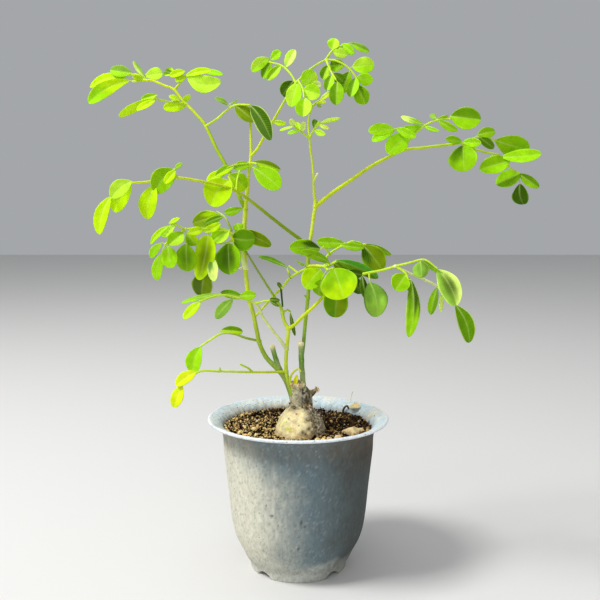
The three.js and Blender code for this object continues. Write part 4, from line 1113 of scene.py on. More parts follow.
            Twig(26, 0.7, 0.45, (
                (-6.9, 128.3), (-10.1, 133.4), (-16.1, 141.1), (-20.1, 146.8), (-24.6, 155), (-26.5, 156.2),
                (-35.8, 158.5), (-41.8, 159.8), (-47.5, 159.2), (-56.3, 156.3),
            ), Tone.CREAM_GREEN, Tone.STALK),
            Twig(4, 0.45, 0.45, ((-24.6, 155), (-20, 156.3), (-16.4, 156.7))),
        ),
        (
            Leaflet(-56, 155.9, -66, 146.1, 5.6, 5, 20, Tone.YELLOW),
            Leaflet(-37.6, 157.4, -47.4, 146.3, 6.6, 5, 20, Tone.SAGE, left=Tone.GLAUCOUS, bow=0.2),
            Leaflet(-44.2, 160.8, -66.9, 155.3, 3, -6, 20, Tone.SAGE, far=Tone.SPRING, bow=0.3),
            Leaflet(-30.8, 157.8, -44.7, 161.2, 5, -5, 10, Tone.GREEN, rim=Tone.LIME, bow=0.5),
            Leaflet(-33.5, 159.3, -24.2, 160, 5.6, 3, -5, Tone.MID),
            Leaflet(-16.4, 156.6, -10.8, 153.4, 2, 2, 20, Tone.DARK),
            Leaflet(-16.6, 157.4, -10.6, 157, 3, 3, 20, Tone.DARK),
        ),
    ),
    Frond(
        "frond_back_left", "stem_right",
        (
            Twig(-14, 0.6, 0.5, (
                (5.2, 175.5), (3, 174.2), (-4.4, 169.9), (-9.5, 164), (-13.4, 160.2), (-16.4, 156.9),
                (-24.4, 147.9),
            ), Tone.STALK, Tone.STEM_YELLOW),
            Twig(-5, 0.45, 0.45, ((0, 172.6), (-5.2, 176.5))),
            Twig(-3, 0.45, 0.45, ((-4.4, 169.9), (-6.2, 174.8)), Tone.SHADED_STALK),
            Twig(-3, 0.45, 0.45, ((-9.8, 163.5), (-9, 153.5)), Tone.DARK, Tone.DARK),
        ),
        (
            Leaflet(-6, 175.5, -22.6, 182, 5, -6, 55, Tone.GREEN),
            Leaflet(-9.7, 163.8, -11.9, 167.2, 2.5, 2, 20, Tone.DARK),
            Leaflet(5, 176.6, -1.3, 179.8, 1.4, 3, 20, Tone.BRIGHT, bow=-0.6),
        ),
    ),
    Frond(
        "frond_thin", "stem_middle",
        (Twig(-6, 0.45, 0.45, ((-8.8, 149.4), (-6.1, 151.4), (-4.6, 150.3))),),
        (Leaflet(-4.6, 150, -1.8, 136.2, 2.6, -3, 20, Tone.DARK),),
    ),
    Frond(
        "frond_centre_right", "stem_right",
        (
            Twig(16, 0.8, 0.6, ((5.6, 176.4), (10.2, 176.6), (16.8, 176.6), (21.4, 179)), Tone.STEM_YELLOW),
            Twig(1, 0.5, 0.45, (
                (17, 176.8), (16.3, 181.7), (20.8, 185.7), (27, 189), (30.6, 190.6), (36.4, 188.7),
                (38.5, 189),
            )),
            Twig(3, 0.45, 0.45, ((18.2, 183.6), (14.4, 187.7))),
            Twig(22, 0.6, 0.5, ((15, 176.8), (16.6, 174.6), (19.9, 175.2))),
        ),
        (
            Leaflet(
                12.6, 186.3, -5.1, 187.2, 8.8, 8, 12, Tone.DARK, left=Tone.MID, far=Tone.BRIGHT, bow=0.3,
            ),
            Leaflet(18, 178.5, 1.5, 184.8, 5.4, 9, 20, Tone.MID, bow=0.4),
            Leaflet(26.4, 189.8, 10.6, 190.6, 6.6, -6, -10, Tone.MID, bow=-0.3),
            Leaflet(
                21.4, 179.9, 45.8, 169.8, 6.4, -3, 12, Tone.GREEN, left=Tone.JADE, rim=Tone.SAGE, bow=-1.2,
            ),
            Leaflet(13.1, 174.7, 4, 163.7, 12, 9, 6, Tone.LIME, left=Tone.MID, bow=0.6),
            Leaflet(13.5, 169.2, 11.6, 159.9, 8, -12, 15, Tone.MID),
            Leaflet(
                20.2, 175.3, 26.1, 157.6, 20.2, 5, 6, Tone.MID, left=Tone.BRIGHT, far=Tone.LIME, bow=-0.4,
            ),
            Leaflet(21.2, 168, 21.2, 147, 13.4, -5, 8, Tone.GREEN, left=Tone.OLIVE, rim=Tone.MID, bow=-0.6),
            Leaflet(20.3, 178.5, 27.9, 173.5, 6.4, -5, 20, Tone.OLIVE),
            Leaflet(
                37.2, 188.2, 48, 174.2, 13.2, 3, 10, Tone.DARK, left=Tone.OLIVE, far=Tone.OLIVE, bow=-0.6,
            ),
            Leaflet(37.5, 189.3, 53, 182.8, 3.6, -5, 20, Tone.MID, bow=-0.8),
            Leaflet(26.5, 173.5, 36.5, 171.6, 6, -6, 20, Tone.DARK),
            Leaflet(24.1, 188.6, 37.5, 187, 4.6, 3, 10, Tone.MID),
            Leaflet(30.6, 190.5, 36.6, 188.9, 2.6, 3, 20, Tone.MID),
        ),
    ),
    Frond(
        "frond_low_right", "stem_middle",
        (
            Twig(28, 0.75, 0.6, (
                (-5.8, 140.3), (-2.5, 142.4), (2.2, 147.1), (11.4, 155.7), (16.2, 161), (23, 166),
                (30.6, 170), (36.4, 171.8), (49.3, 174.5), (55.5, 176.4),
            ), Tone.STEM_YELLOW),
            Twig(8, 0.5, 0.45, ((55.5, 176.4), (64, 178.5), (71.8, 180.2), (79.4, 175))),
            Twig(-8, 0.6, 0.5, (
                (55.5, 176.2), (63, 172.6), (69.7, 169.9), (79.3, 165), (90.3, 154.2),
            ), Tone.CREAM_GREEN, Tone.CREAM_GREEN),
            Twig(2, 0.4, 0.35, ((40.5, 172.6), (40.8, 168.4))),
            Twig(5, 0.5, 0.5, ((55.6, 176.2), (61.6, 172), (63, 168.5))),
        ),
        (
            Leaflet(
                40.9, 167.4, 45.3, 147.3, 13, 5, 8, Tone.GLAUCOUS, left=Tone.GLAUCOUS, far=Tone.SAGE,
                rim=Tone.GREY, bow=-1.5,
            ),
            Leaflet(36.5, 171, 39, 157.6, 4.6, 2, 10, Tone.DARK, left=Tone.DEEP, rim=Tone.SAGE),
            Leaflet(32.2, 171.6, 35.4, 160.6, 8, -6, 20, Tone.DARK),
            Leaflet(61.6, 171.8, 55.5, 162.8, 10.5, 5, 0, Tone.MID, left=Tone.MID, rim=Tone.SPRING),
            Leaflet(62.2, 171.5, 66, 158.5, 3.5, -6, 20, Tone.DARK),
            Leaflet(
                64.4, 168.8, 63.8, 135.5, 7.8, 6, 20, Tone.GREEN, left=Tone.DEEP, far=Tone.MID,
                rim=Tone.SILVER, bow=-2.6,
            ),
            Leaflet(
                69.9, 179.4, 70.8, 169.8, 9, 4, 16, Tone.SAGE, left=Tone.GREY, heart=Tone.GLAUCOUS,
                rim=Tone.SAGE,
            ),
            Leaflet(71.6, 180, 84, 171.3, 4.5, 4, 60, Tone.BRIGHT, left=Tone.SAGE),
            Leaflet(
                79.8, 174.5, 91, 153.8, 11.6, 7, 12, Tone.SAGE, left=Tone.SILVER, heart=Tone.GREY,
                rim=Tone.SILVER, bow=-1.8,
            ),
            Leaflet(
                90.4, 154, 98.8, 132.3, 9, 5, 10, Tone.GREEN, left=Tone.GREEN, rim=Tone.SILVER, bow=-2.2,
            ),
            Leaflet(79.5, 164.3, 76.2, 148.5, 5.4, 4, 20, Tone.MID, left=Tone.GREEN),
            Leaflet(82.6, 161.6, 81.9, 150, 2.8, -3, 20, Tone.SILVER),
        ),
    ),
    Frond(
        "frond_right", "stem_right",
        (
            Twig(-36, 0.85, 0.5, (
                (9.7, 210.2), (20, 218.5), (29.8, 225.2), (40.1, 232.3), (50.1, 237.7), (59.5, 241.9),
                (70.1, 243.2), (85.3, 244.9), (92.2, 245.5), (96.1, 243.5), (105.6, 240.6), (114.3, 238.2),
                (118.3, 233), (124.4, 228.3),
            ), Tone.STEM_YELLOW),
            Twig(14, 0.5, 0.45, (
                (57.6, 241.5), (61.8, 246.8), (67, 252.5), (73.5, 256.8), (79.5, 258.8), (85, 259),
            )),
            Twig(5, 0.45, 0.45, ((64, 249.2), (60, 252), (54.2, 253.3))),
            Twig(-6, 0.45, 0.45, ((92.5, 245.5), (100.9, 249), (110.8, 247.3))),
        ),
        (
            Leaflet(54, 253.4, 39.4, 252.4, 7.6, 5, 20, Tone.SPRING),
            Leaflet(54, 252.8, 41.4, 247.2, 6.2, -4, 20, Tone.SPRING),
            Leaflet(55, 253.8, 66.3, 249.4, 5.6, 6, 20, Tone.SPRING),
            Leaflet(56, 253.6, 69.6, 254, 4.8, -5, 20, Tone.SPRING),
            Leaflet(70.5, 256.2, 57.5, 260.4, 3.8, -4, 20, Tone.MID, far=Tone.SILVER, bow=-0.7),
            Leaflet(70.3, 255, 79.2, 252.3, 2.7, 4, 20, Tone.SPRING),
            Leaflet(77.4, 258.9, 73.9, 261.4, 3.4, -2, 20, Tone.SAGE),
            Leaflet(77.6, 258.9, 84, 261, 2.6, 3, 30, Tone.MID),
            Leaflet(78.3, 258.2, 89.3, 252.6, 4.8, 4, 20, Tone.MID),
            Leaflet(61.1, 250.1, 50.2, 240, 11.6, 9, 10, Tone.SPRING),
            Leaflet(85.3, 260.6, 102.2, 258.6, 12.4, 6, 2, Tone.BRIGHT, left=Tone.GREEN),
            Leaflet(92, 246.4, 82.7, 248, 5, 5, 20, Tone.BRIGHT),
            Leaflet(92.6, 246.3, 102.8, 246.2, 5.8, 8, 20, Tone.SPRING),
            Leaflet(100.8, 249.4, 110, 243, 5.4, -5, -5, Tone.GREEN),
            Leaflet(100.4, 250.2, 110.2, 252.4, 6.8, -4, -15, Tone.MID),
            Leaflet(110.4, 247.2, 129.5, 241.8, 13.4, -8, 8, Tone.MID, left=Tone.MID, far=Tone.BRIGHT),
            Leaflet(114.4, 238, 136.6, 239.9, 8, 2, -2, Tone.SPRING, bow=0.4),
            Leaflet(119.2, 236, 102.3, 231.2, 11, 6, 10, Tone.BRIGHT, left=Tone.SPRING),
            Leaflet(92.6, 244.6, 93.6, 229.8, 17.4, 4, 12, Tone.GREEN, left=Tone.BRIGHT, far=Tone.MID),
            Leaflet(125.4, 229, 111.9, 222.8, 10.4, 4, 12, Tone.SPRING, left=Tone.GREEN),
            Leaflet(124.5, 228.7, 136, 221, 6, 4, 4, Tone.MID, left=Tone.GREEN),
            Leaflet(125.2, 223.2, 127.6, 211.6, 10, -8, 2, Tone.DARK, left=Tone.DARK, bow=1.2),
        ),
    ),
)


def ball(detail: int) -> tuple[np.ndarray, np.ndarray]:
    """Corners and faces of a ball of even triangles, of radius 1.

    Args:
        detail: 1 for 20 faces, 2 for 80, and so on.

    Returns:
        Corner places, (n, 3), and corner numbers, (m, 3).
    """
    shape = bmesh.new()
    bmesh.ops.create_icosphere(shape, subdivisions=detail, radius=1.0)
    corners = np.array([vertex.co for vertex in shape.verts])
    faces = np.array([[vertex.index for vertex in face.verts] for face in shape.faces])
    shape.free()
    return corners, faces


def lumps(
    centres: np.ndarray, radii: np.ndarray, colours: np.ndarray, detail: int, chance: np.random.Generator,
    unevenness: float = 0.22,
) -> Surface:
    """Many loose lumps: each is a ball with uneven corners, stretched a little and turned at random.

    Args:
        centres: their middles, (n, 3).
        radii: their mean radii, (n,).
        colours: their colours, (n, 4).
        detail: how finely each ball is divided, as `ball` has it.
        chance: the source of the random differences.
        unevenness: how far corners lie in or out, as a share of the radius.

    Returns:
        All of them as one shape.
    """
    corners, faces = ball(detail)
    count = len(centres)
    first = unit(chance.normal(size=(count, 3)))
    second = unit(np.cross(first, chance.normal(size=(count, 3))))
    turned = np.stack([first, second, np.cross(first, second)], axis=1)
    stretched = turned * chance.uniform(0.7, 1.3, (count, 3, 1))
    uneven = 1 + chance.uniform(-unevenness, unevenness, (count, len(corners), 1))
    offsets = np.einsum("vk,nkj->nvj", corners, stretched) * uneven * radii[:, None, None]
    points = (centres[:, None] + offsets).reshape(-1, 3)
    numbers = (faces[None] + (np.arange(count) * len(corners))[:, None, None]).reshape(-1, 3)
    return Surface.off_blade(points, [numbers], np.repeat(colours, len(corners), axis=0))


class NodeTree:
    """Adds and links the nodes of one shader tree."""

    def __init__(self, tree: bpy.types.NodeTree) -> None:
        """Start with an empty tree."""
        self.tree = tree
        tree.nodes.clear()

    def add(self, kind: str, inputs: dict | None = None, **settings: object) -> bpy.types.Node:
        """A node of the tree.

        Args:
            kind: its Blender type.
            inputs: a value, or another node's output, for each input by its name or number.
            settings: its other settings.

        Returns:
            The node.
        """
        node = self.tree.nodes.new(kind)
        for name, value in settings.items():
            setattr(node, name, value)
        for key, value in (inputs or {}).items():
            if isinstance(value, bpy.types.NodeSocket):
                self.tree.links.new(value, node.inputs[key])
            else:
                node.inputs[key].default_value = value
        return node

    def math(self, operation: str, *values: object) -> bpy.types.NodeSocket:
        """The result of a sum on values and outputs."""
        return self.add("ShaderNodeMath", dict(enumerate(values)), operation=operation).outputs[0]

    def mixed(self, share: object, first: object, second: object) -> bpy.types.NodeSocket:
        """A colour between two, by a share."""
        return self.add("ShaderNodeMix", {0: share, 6: first, 7: second}, data_type="RGBA").outputs[2]

    def stepped(self, value: object, low: object, high: object) -> bpy.types.NodeSocket:
        """A smooth step from 0 at `low` to 1 at `high`."""
        inputs = {"Value": value, "From Min": low, "From Max": high}
        return self.add("ShaderNodeMapRange", inputs, interpolation_type="SMOOTHSTEP").outputs["Result"]

    def swayed(self, value: object, reach: object, middle: object) -> bpy.types.NodeSocket:
        """A value that lies about 0.5 made to lie about `middle`: middle + reach * (value - 0.5)."""
        return self.math("MULTIPLY_ADD", self.math("SUBTRACT", value, 0.5), reach, middle)

    def noise(self, where: object, scale: object, detail: float) -> bpy.types.NodeSocket:
        """Smooth noise that lies about 0.5."""
        inputs = {"Vector": where, "Scale": scale, "Detail": detail}
        return self.add("ShaderNodeTexNoise", inputs).outputs[0]

    def give(
        self, colour: object, value: object, share: object, over: object, others: dict[str, object]
    ) -> None:
        """Give out a group's results.

        Args:
            colour: the colour that the group was given.
            value: the factor on its lightness.
            share: the share of a second colour over it.
            over: that second colour.
            others: the group's other outputs by name.
        """
        varied = self.add("ShaderNodeHueSaturation", {"Color": colour, "Value": value}).outputs[0]
        self.add("NodeGroupOutput", {"Color": self.mixed(share, varied, over), **others})


def new_group(name: str, inputs: dict[str, object]) -> bpy.types.NodeTree:
    """A node group with its sockets; it gives out a Color, a Roughness and a Height.

    Args:
        name: its name.
        inputs: the value of each input; four numbers make a colour, three a vector and one a number.

    Returns:
        The group, still empty.
    """
    group = bpy.data.node_groups.new(name, "ShaderNodeTree")
    kinds = {1: "NodeSocketFloat", 3: "NodeSocketVector", 4: "NodeSocketColor"}
    for label, value in inputs.items():
        kind = kinds[len(value) if isinstance(value, tuple) else 1]
        group.interface.new_socket(label, in_out="INPUT", socket_type=kind).default_value = value
    for label, size in (("Color", 4), ("Roughness", 1), ("Height", 1)):
        group.interface.new_socket(label, in_out="OUTPUT", socket_type=kinds[size])
    return group


def grain_group() -> None:
    """Make the group `grain`: blotches, fine grain and specks over a colour, in the piece's own millimetres.

    The colour's lightness is multiplied by 1 + Variation * (4 * (blotch - 0.5) + 2 * (grain - 0.5)). Specks
    are the middles of random cells; Speck Share of the cells have one.
    """
    group = new_group(
        "grain",
        {
            "Color": WHITE, "Speck Color": WHITE, "Stretch": (1.0, 1.0, 1.0), "Blotch Size": 4.0,
            "Grain Size": 0.6, "Variation": 0.15, "Speck Size": 1.0, "Speck Share": 0.1, "Roughness": 0.6,
        },
    )
    nodes = NodeTree(group)
    given = nodes.add("NodeGroupInput").outputs
    where = nodes.add("ShaderNodeTexCoord").outputs["Object"]
    stretch = {0: where, 1: given["Stretch"]}
    stretched = nodes.add("ShaderNodeVectorMath", stretch, operation="MULTIPLY").outputs[0]
    blotch_scale, grain_scale, speck_scale = (
        nodes.math("DIVIDE", 1 / MM, given[f"{kind} Size"]) for kind in ("Blotch", "Grain", "Speck")
    )
    blotch = nodes.noise(stretched, blotch_scale, 4.0)
    grain = nodes.noise(where, grain_scale, 2.0)
    cells = nodes.add("ShaderNodeTexVoronoi", {"Vector": where, "Scale": speck_scale}).outputs
    cell_number = nodes.add("ShaderNodeSeparateColor", {0: cells["Color"]}).outputs[0]
    chosen = nodes.math("LESS_THAN", cell_number, given["Speck Share"])
    speck = nodes.math("MULTIPLY", chosen, nodes.stepped(cells["Distance"], 0.34, 0.2))
    change = nodes.math("ADD", nodes.swayed(blotch, 4.0, 0.0), nodes.swayed(grain, 2.0, 0.0))
    value = nodes.math("ADD", nodes.math("MULTIPLY", change, given["Variation"]), 1.0)
    height = nodes.math("MULTIPLY_ADD", speck, 0.3, nodes.math("MULTIPLY_ADD", blotch, 0.6, grain))
    rough = nodes.swayed(blotch, 0.25, given["Roughness"])
    nodes.give(given["Color"], value, speck, given["Speck Color"], {"Roughness": rough, "Height": height})


def vein_group() -> None:
    """Make the group `leaf_veins`: side veins, a fine net and soft blotches on a blade, from its places.

    A side vein runs where (along - 0.9 * |across|) is a whole number of spacings, and fades towards the rim.
    Off the blades, where the third value is negative, there are none.
    """
    group = new_group(
        "leaf_veins",
        {"Color": WHITE, "Vein Color": WHITE, "Spacing": 1.5, "Strength": 0.3, "Roughness": 0.5},
    )
    nodes = NodeTree(group)
    given = nodes.add("NodeGroupInput").outputs
    place = nodes.add("ShaderNodeAttribute", attribute_name="place").outputs["Vector"]
    along, across, rim = nodes.add("ShaderNodeSeparateXYZ", {0: place}).outputs
    on_blade = nodes.math("GREATER_THAN", rim, OFF_BLADE / 2)
    slant = nodes.math("MULTIPLY_ADD", nodes.math("ABSOLUTE", across), -0.9, along)
    turns_over = nodes.math("PINGPONG", nodes.math("DIVIDE", slant, given["Spacing"]), 0.5)
    line = nodes.math("MULTIPLY", nodes.stepped(turns_over, 0.13, 0.02), nodes.stepped(rim, 1.0, 0.4))
    vein = nodes.math("MULTIPLY", line, on_blade)
    net_cells = {"Vector": place, "Scale": 1.4}
    net = nodes.add("ShaderNodeTexVoronoi", net_cells, feature="DISTANCE_TO_EDGE").outputs["Distance"]
    fine = nodes.math("MULTIPLY", nodes.stepped(net, 0.1, 0.02), on_blade)
    share = nodes.math("MULTIPLY", nodes.math("MULTIPLY_ADD", fine, 0.3, vein), given["Strength"])
    blotch = nodes.noise(nodes.add("ShaderNodeTexCoord").outputs["Object"], 0.28 / MM, 1.0)
    height = nodes.math("MULTIPLY_ADD", vein, -0.6, blotch)
    rough = nodes.swayed(blotch, 0.3, given["Roughness"])
    value = nodes.swayed(blotch, 0.45, 1.0)
    nodes.give(given["Color"], value, share, given["Vein Color"], {"Roughness": rough, "Height": height})


@dataclass(frozen=True)
class Finish:
    """A surface finish: the piece's painted tone, worked over by a node group.

    Attributes:
        name: the material's name.
        group: the node group's name.
        inputs: the group's inputs by name; a Tone stands for its colour.
        bump: how strongly its relief shows.
        relief: the height of its relief, in millimetres.
        specular: how strongly it mirrors.
    """

    name: str
    group: str
    inputs: dict[str, float | tuple[float, ...] | Tone]
    bump: float = 0.4
    relief: float = 0.2
    specular: float = 0.4

    def material(self) -> bpy.types.Material:
        """Make the finish's material: the painted tone goes through the group to a Principled BSDF.

        Returns:
            The material.
        """
        material = bpy.data.materials.new(self.name)
        material.use_nodes = True
        nodes = NodeTree(material.node_tree)
        worked = nodes.add("ShaderNodeGroup", node_tree=bpy.data.node_groups[self.group])
        tone = nodes.add("ShaderNodeAttribute", attribute_name="tone").outputs["Color"]
        nodes.tree.links.new(tone, worked.inputs["Color"])
        for name, value in self.inputs.items():
            worked.inputs[name].default_value = tuple(value.linear) if isinstance(value, Tone) else value
        bump = {"Strength": self.bump, "Distance": self.relief * MM, "Height": worked.outputs["Height"]}
        shader = nodes.add(
            "ShaderNodeBsdfPrincipled",
            {
                "Base Color": worked.outputs["Color"], "Roughness": worked.outputs["Roughness"],
                "Normal": nodes.add("ShaderNodeBump", bump).outputs[0],
                "Specular IOR Level": self.specular,
            },
        )
        nodes.add("ShaderNodeOutputMaterial", {"Surface": shader.outputs[0]})
        return material


FINISHES = (
    Finish(
        "leaf_skin", "leaf_veins",
        {"Vein Color": Tone.VEIN, "Spacing": 1.5, "Strength": 0.12, "Roughness": 0.55},
        bump=0.15, relief=0.06, specular=0.05,
    ),
    Finish(
        "dry_leaf_skin", "leaf_veins",
        {"Vein Color": Tone.SOIL_BROWN, "Spacing": 1.2, "Strength": 0.4, "Roughness": 0.85},
        bump=0.6, relief=0.3, specular=0.15,
    ),
    Finish(
        "stem_skin", "grain",
        {
            "Stretch": (1.0, 1.0, 0.22), "Blotch Size": 1.6, "Grain Size": 0.5, "Variation": 0.16,
            "Speck Color": Tone.STALK, "Speck Size": 1.1, "Speck Share": 0.16, "Roughness": 0.5,
        },
        bump=0.35, relief=0.1,
    ),
    Finish(
        "bark_skin", "grain",
        {
            "Blotch Size": 2.4, "Grain Size": 0.5, "Variation": 0.3, "Speck Color": Tone.SOIL_WHITE,
            "Speck Size": 1.3, "Speck Share": 0.12, "Roughness": 0.82,
        },
        bump=0.8, relief=0.35, specular=0.2,
    ),
    Finish(
        "soil_grain", "grain",
        {
            "Blotch Size": 3.0, "Grain Size": 0.45, "Variation": 0.35, "Speck Color": Tone.SOIL_TAN,
            "Speck Size": 0.9, "Speck Share": 0.12, "Roughness": 0.95,
        },
        bump=0.8, relief=0.35, specular=0.1,
    ),
    Finish(
        "stone_skin", "grain",
        {
            "Blotch Size": 2.2, "Grain Size": 0.4, "Variation": 0.22, "Speck Color": Tone.SOIL_BROWN,
            "Speck Size": 0.9, "Speck Share": 0.12, "Roughness": 0.8,
        },
        bump=0.5, relief=0.2, specular=0.25,
    ),
    Finish(
        "weathered_plastic", "grain",
        {
            "Stretch": (1.0, 1.0, 0.4), "Blotch Size": 1.5, "Grain Size": 0.55, "Variation": 0.17,
            "Speck Color": Tone.POT_GRIME_AND_SHADE, "Speck Size": 1.2, "Speck Share": 0.05, "Roughness": 0.75,
        },
        bump=0.3, relief=0.12, specular=0.25,
    ),
)


def placed(name: str, data: bpy.types.ID) -> bpy.types.Object:
    """A new object in the scene.

    Args:
        name: its name.
        data: its mesh, light or camera.

    Returns:
        The object, at the origin.
    """
    made = bpy.data.objects.new(name, data)
    bpy.context.scene.collection.objects.link(made)
    return made


def piece(
    name: str, surface: Surface, material: bpy.types.Material, nodes: Sequence[str] = (),
    sharp_degrees: float | None = None,
) -> None:
    """Make a piece of the plant from its surface, riding on the frame.

    Args:
        name: its name.
        surface: its shape, in millimetres from the foot of the pot's axis.
        material: its material.
        nodes: the CAD nodes that it stands for.
        sharp_degrees: the angle above which an edge is sharp, or None where all is smooth.
    """
    mesh = bpy.data.meshes.new(name)
    corners = np.concatenate([face.ravel() for face in surface.faces])
    sizes = np.concatenate([np.full(len(face), face.shape[1]) for face in surface.faces])
    mesh.vertices.add(len(surface.points))
    mesh.vertices.foreach_set("co", ((surface.points + POT_AXIS) * MM).ravel())
    mesh.loops.add(len(corners))
    mesh.loops.foreach_set("vertex_index", corners)
    mesh.polygons.add(len(sizes))
    mesh.polygons.foreach_set("loop_start", np.concatenate([[0], np.cumsum(sizes)[:-1]]))
    mesh.polygons.foreach_set("use_smooth", np.ones(len(sizes), bool))
    mesh.update(calc_edges=True)
    tone = mesh.color_attributes.new("tone", "FLOAT_COLOR", "POINT")
    tone.data.foreach_set("color", surface.colour.ravel())
    place = mesh.attributes.new("place", "FLOAT_VECTOR", "POINT")
    place.data.foreach_set("vector", surface.place.ravel())
    if sharp_degrees is not None:
        mesh.set_sharp_from_angle(angle=math.radians(sharp_degrees))
    mesh.materials.append(material)
    made = placed(name, mesh)
    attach(made, "root")
    if nodes:
        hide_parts(*nodes)
    log.info("%s: %d points, %d faces", name, len(surface.points), len(sizes))


def plain_object(name: str, surface: Surface) -> bpy.types.Object:
    """An object of a shape without its colours, for modifiers to work on.

    Args:
        name: its name.
        surface: its shape, in millimetres.

    Returns:
        The object, in metres.
    """
    mesh = bpy.data.meshes.new(name)
    faces = [corner for face in surface.faces for corner in face.tolist()]
    mesh.from_pydata(surface.points * MM, [], faces)
    return placed(name, mesh)


def values_of(items: bpy.types.bpy_prop_collection, field: str, shape: tuple, kind: type) -> np.ndarray:
    """One field of a mesh's items as an array.

    Args:
        items: the mesh's points, corners or faces.
        field: the field's name.
        shape: how many values each item has.
        kind: float or int.

    Returns:
        The values, (n, *shape).
    """
    values = np.empty((len(items), *shape), kind)
    items.foreach_get(field, values.ravel())
    return values


def worked_shape(
    surface: Surface, *modifiers: tuple[str, dict]
) -> tuple[np.ndarray, np.ndarray, list[np.ndarray]]:
    """A shape after modifiers.

    Args:
        surface: the shape that they start from.
        modifiers: each modifier's Blender type and settings.

    Returns:
        Its points in millimetres, its point normals, and its faces by their number of corners.
    """
    shape = plain_object("worked", surface)
    for kind, settings in modifiers:
        modifier = shape.modifiers.new(kind, kind)
        for name, value in settings.items():
            setattr(modifier, name, value)
    result = bpy.data.meshes.new_from_object(shape.evaluated_get(bpy.context.evaluated_depsgraph_get()))
    points = values_of(result.vertices, "co", (3,), float)
    normals = values_of(result.vertex_normals, "vector", (3,), float)
    corners = values_of(result.loops, "vertex_index", (), int)
    sizes = values_of(result.polygons, "loop_total", (), int)
    starts = np.concatenate([[0], np.cumsum(sizes)[:-1]])
    groups = [corners[starts[sizes == size, None] + np.arange(size)] for size in np.unique(sizes)]
    for mesh in (shape.data, result):
        bpy.data.meshes.remove(mesh)
    return points / MM, normals, groups


@dataclass
class Stem:
    """One of the three stems, with its stubs.

    Attributes:
        node: the CAD node that it stands for.
        runs: its lengths and stubs.
    """

    node: str
    runs: tuple[StemRun, ...]

    def build(self, material: bpy.types.Material) -> None:
        """Make the stem as one piece, in which each run has its own noise."""
        shapes = [run.surface(10 * k + len(self.node)) for k, run in enumerate(self.runs)]
        piece(self.node + "_skin", joined(shapes), material, [self.node])


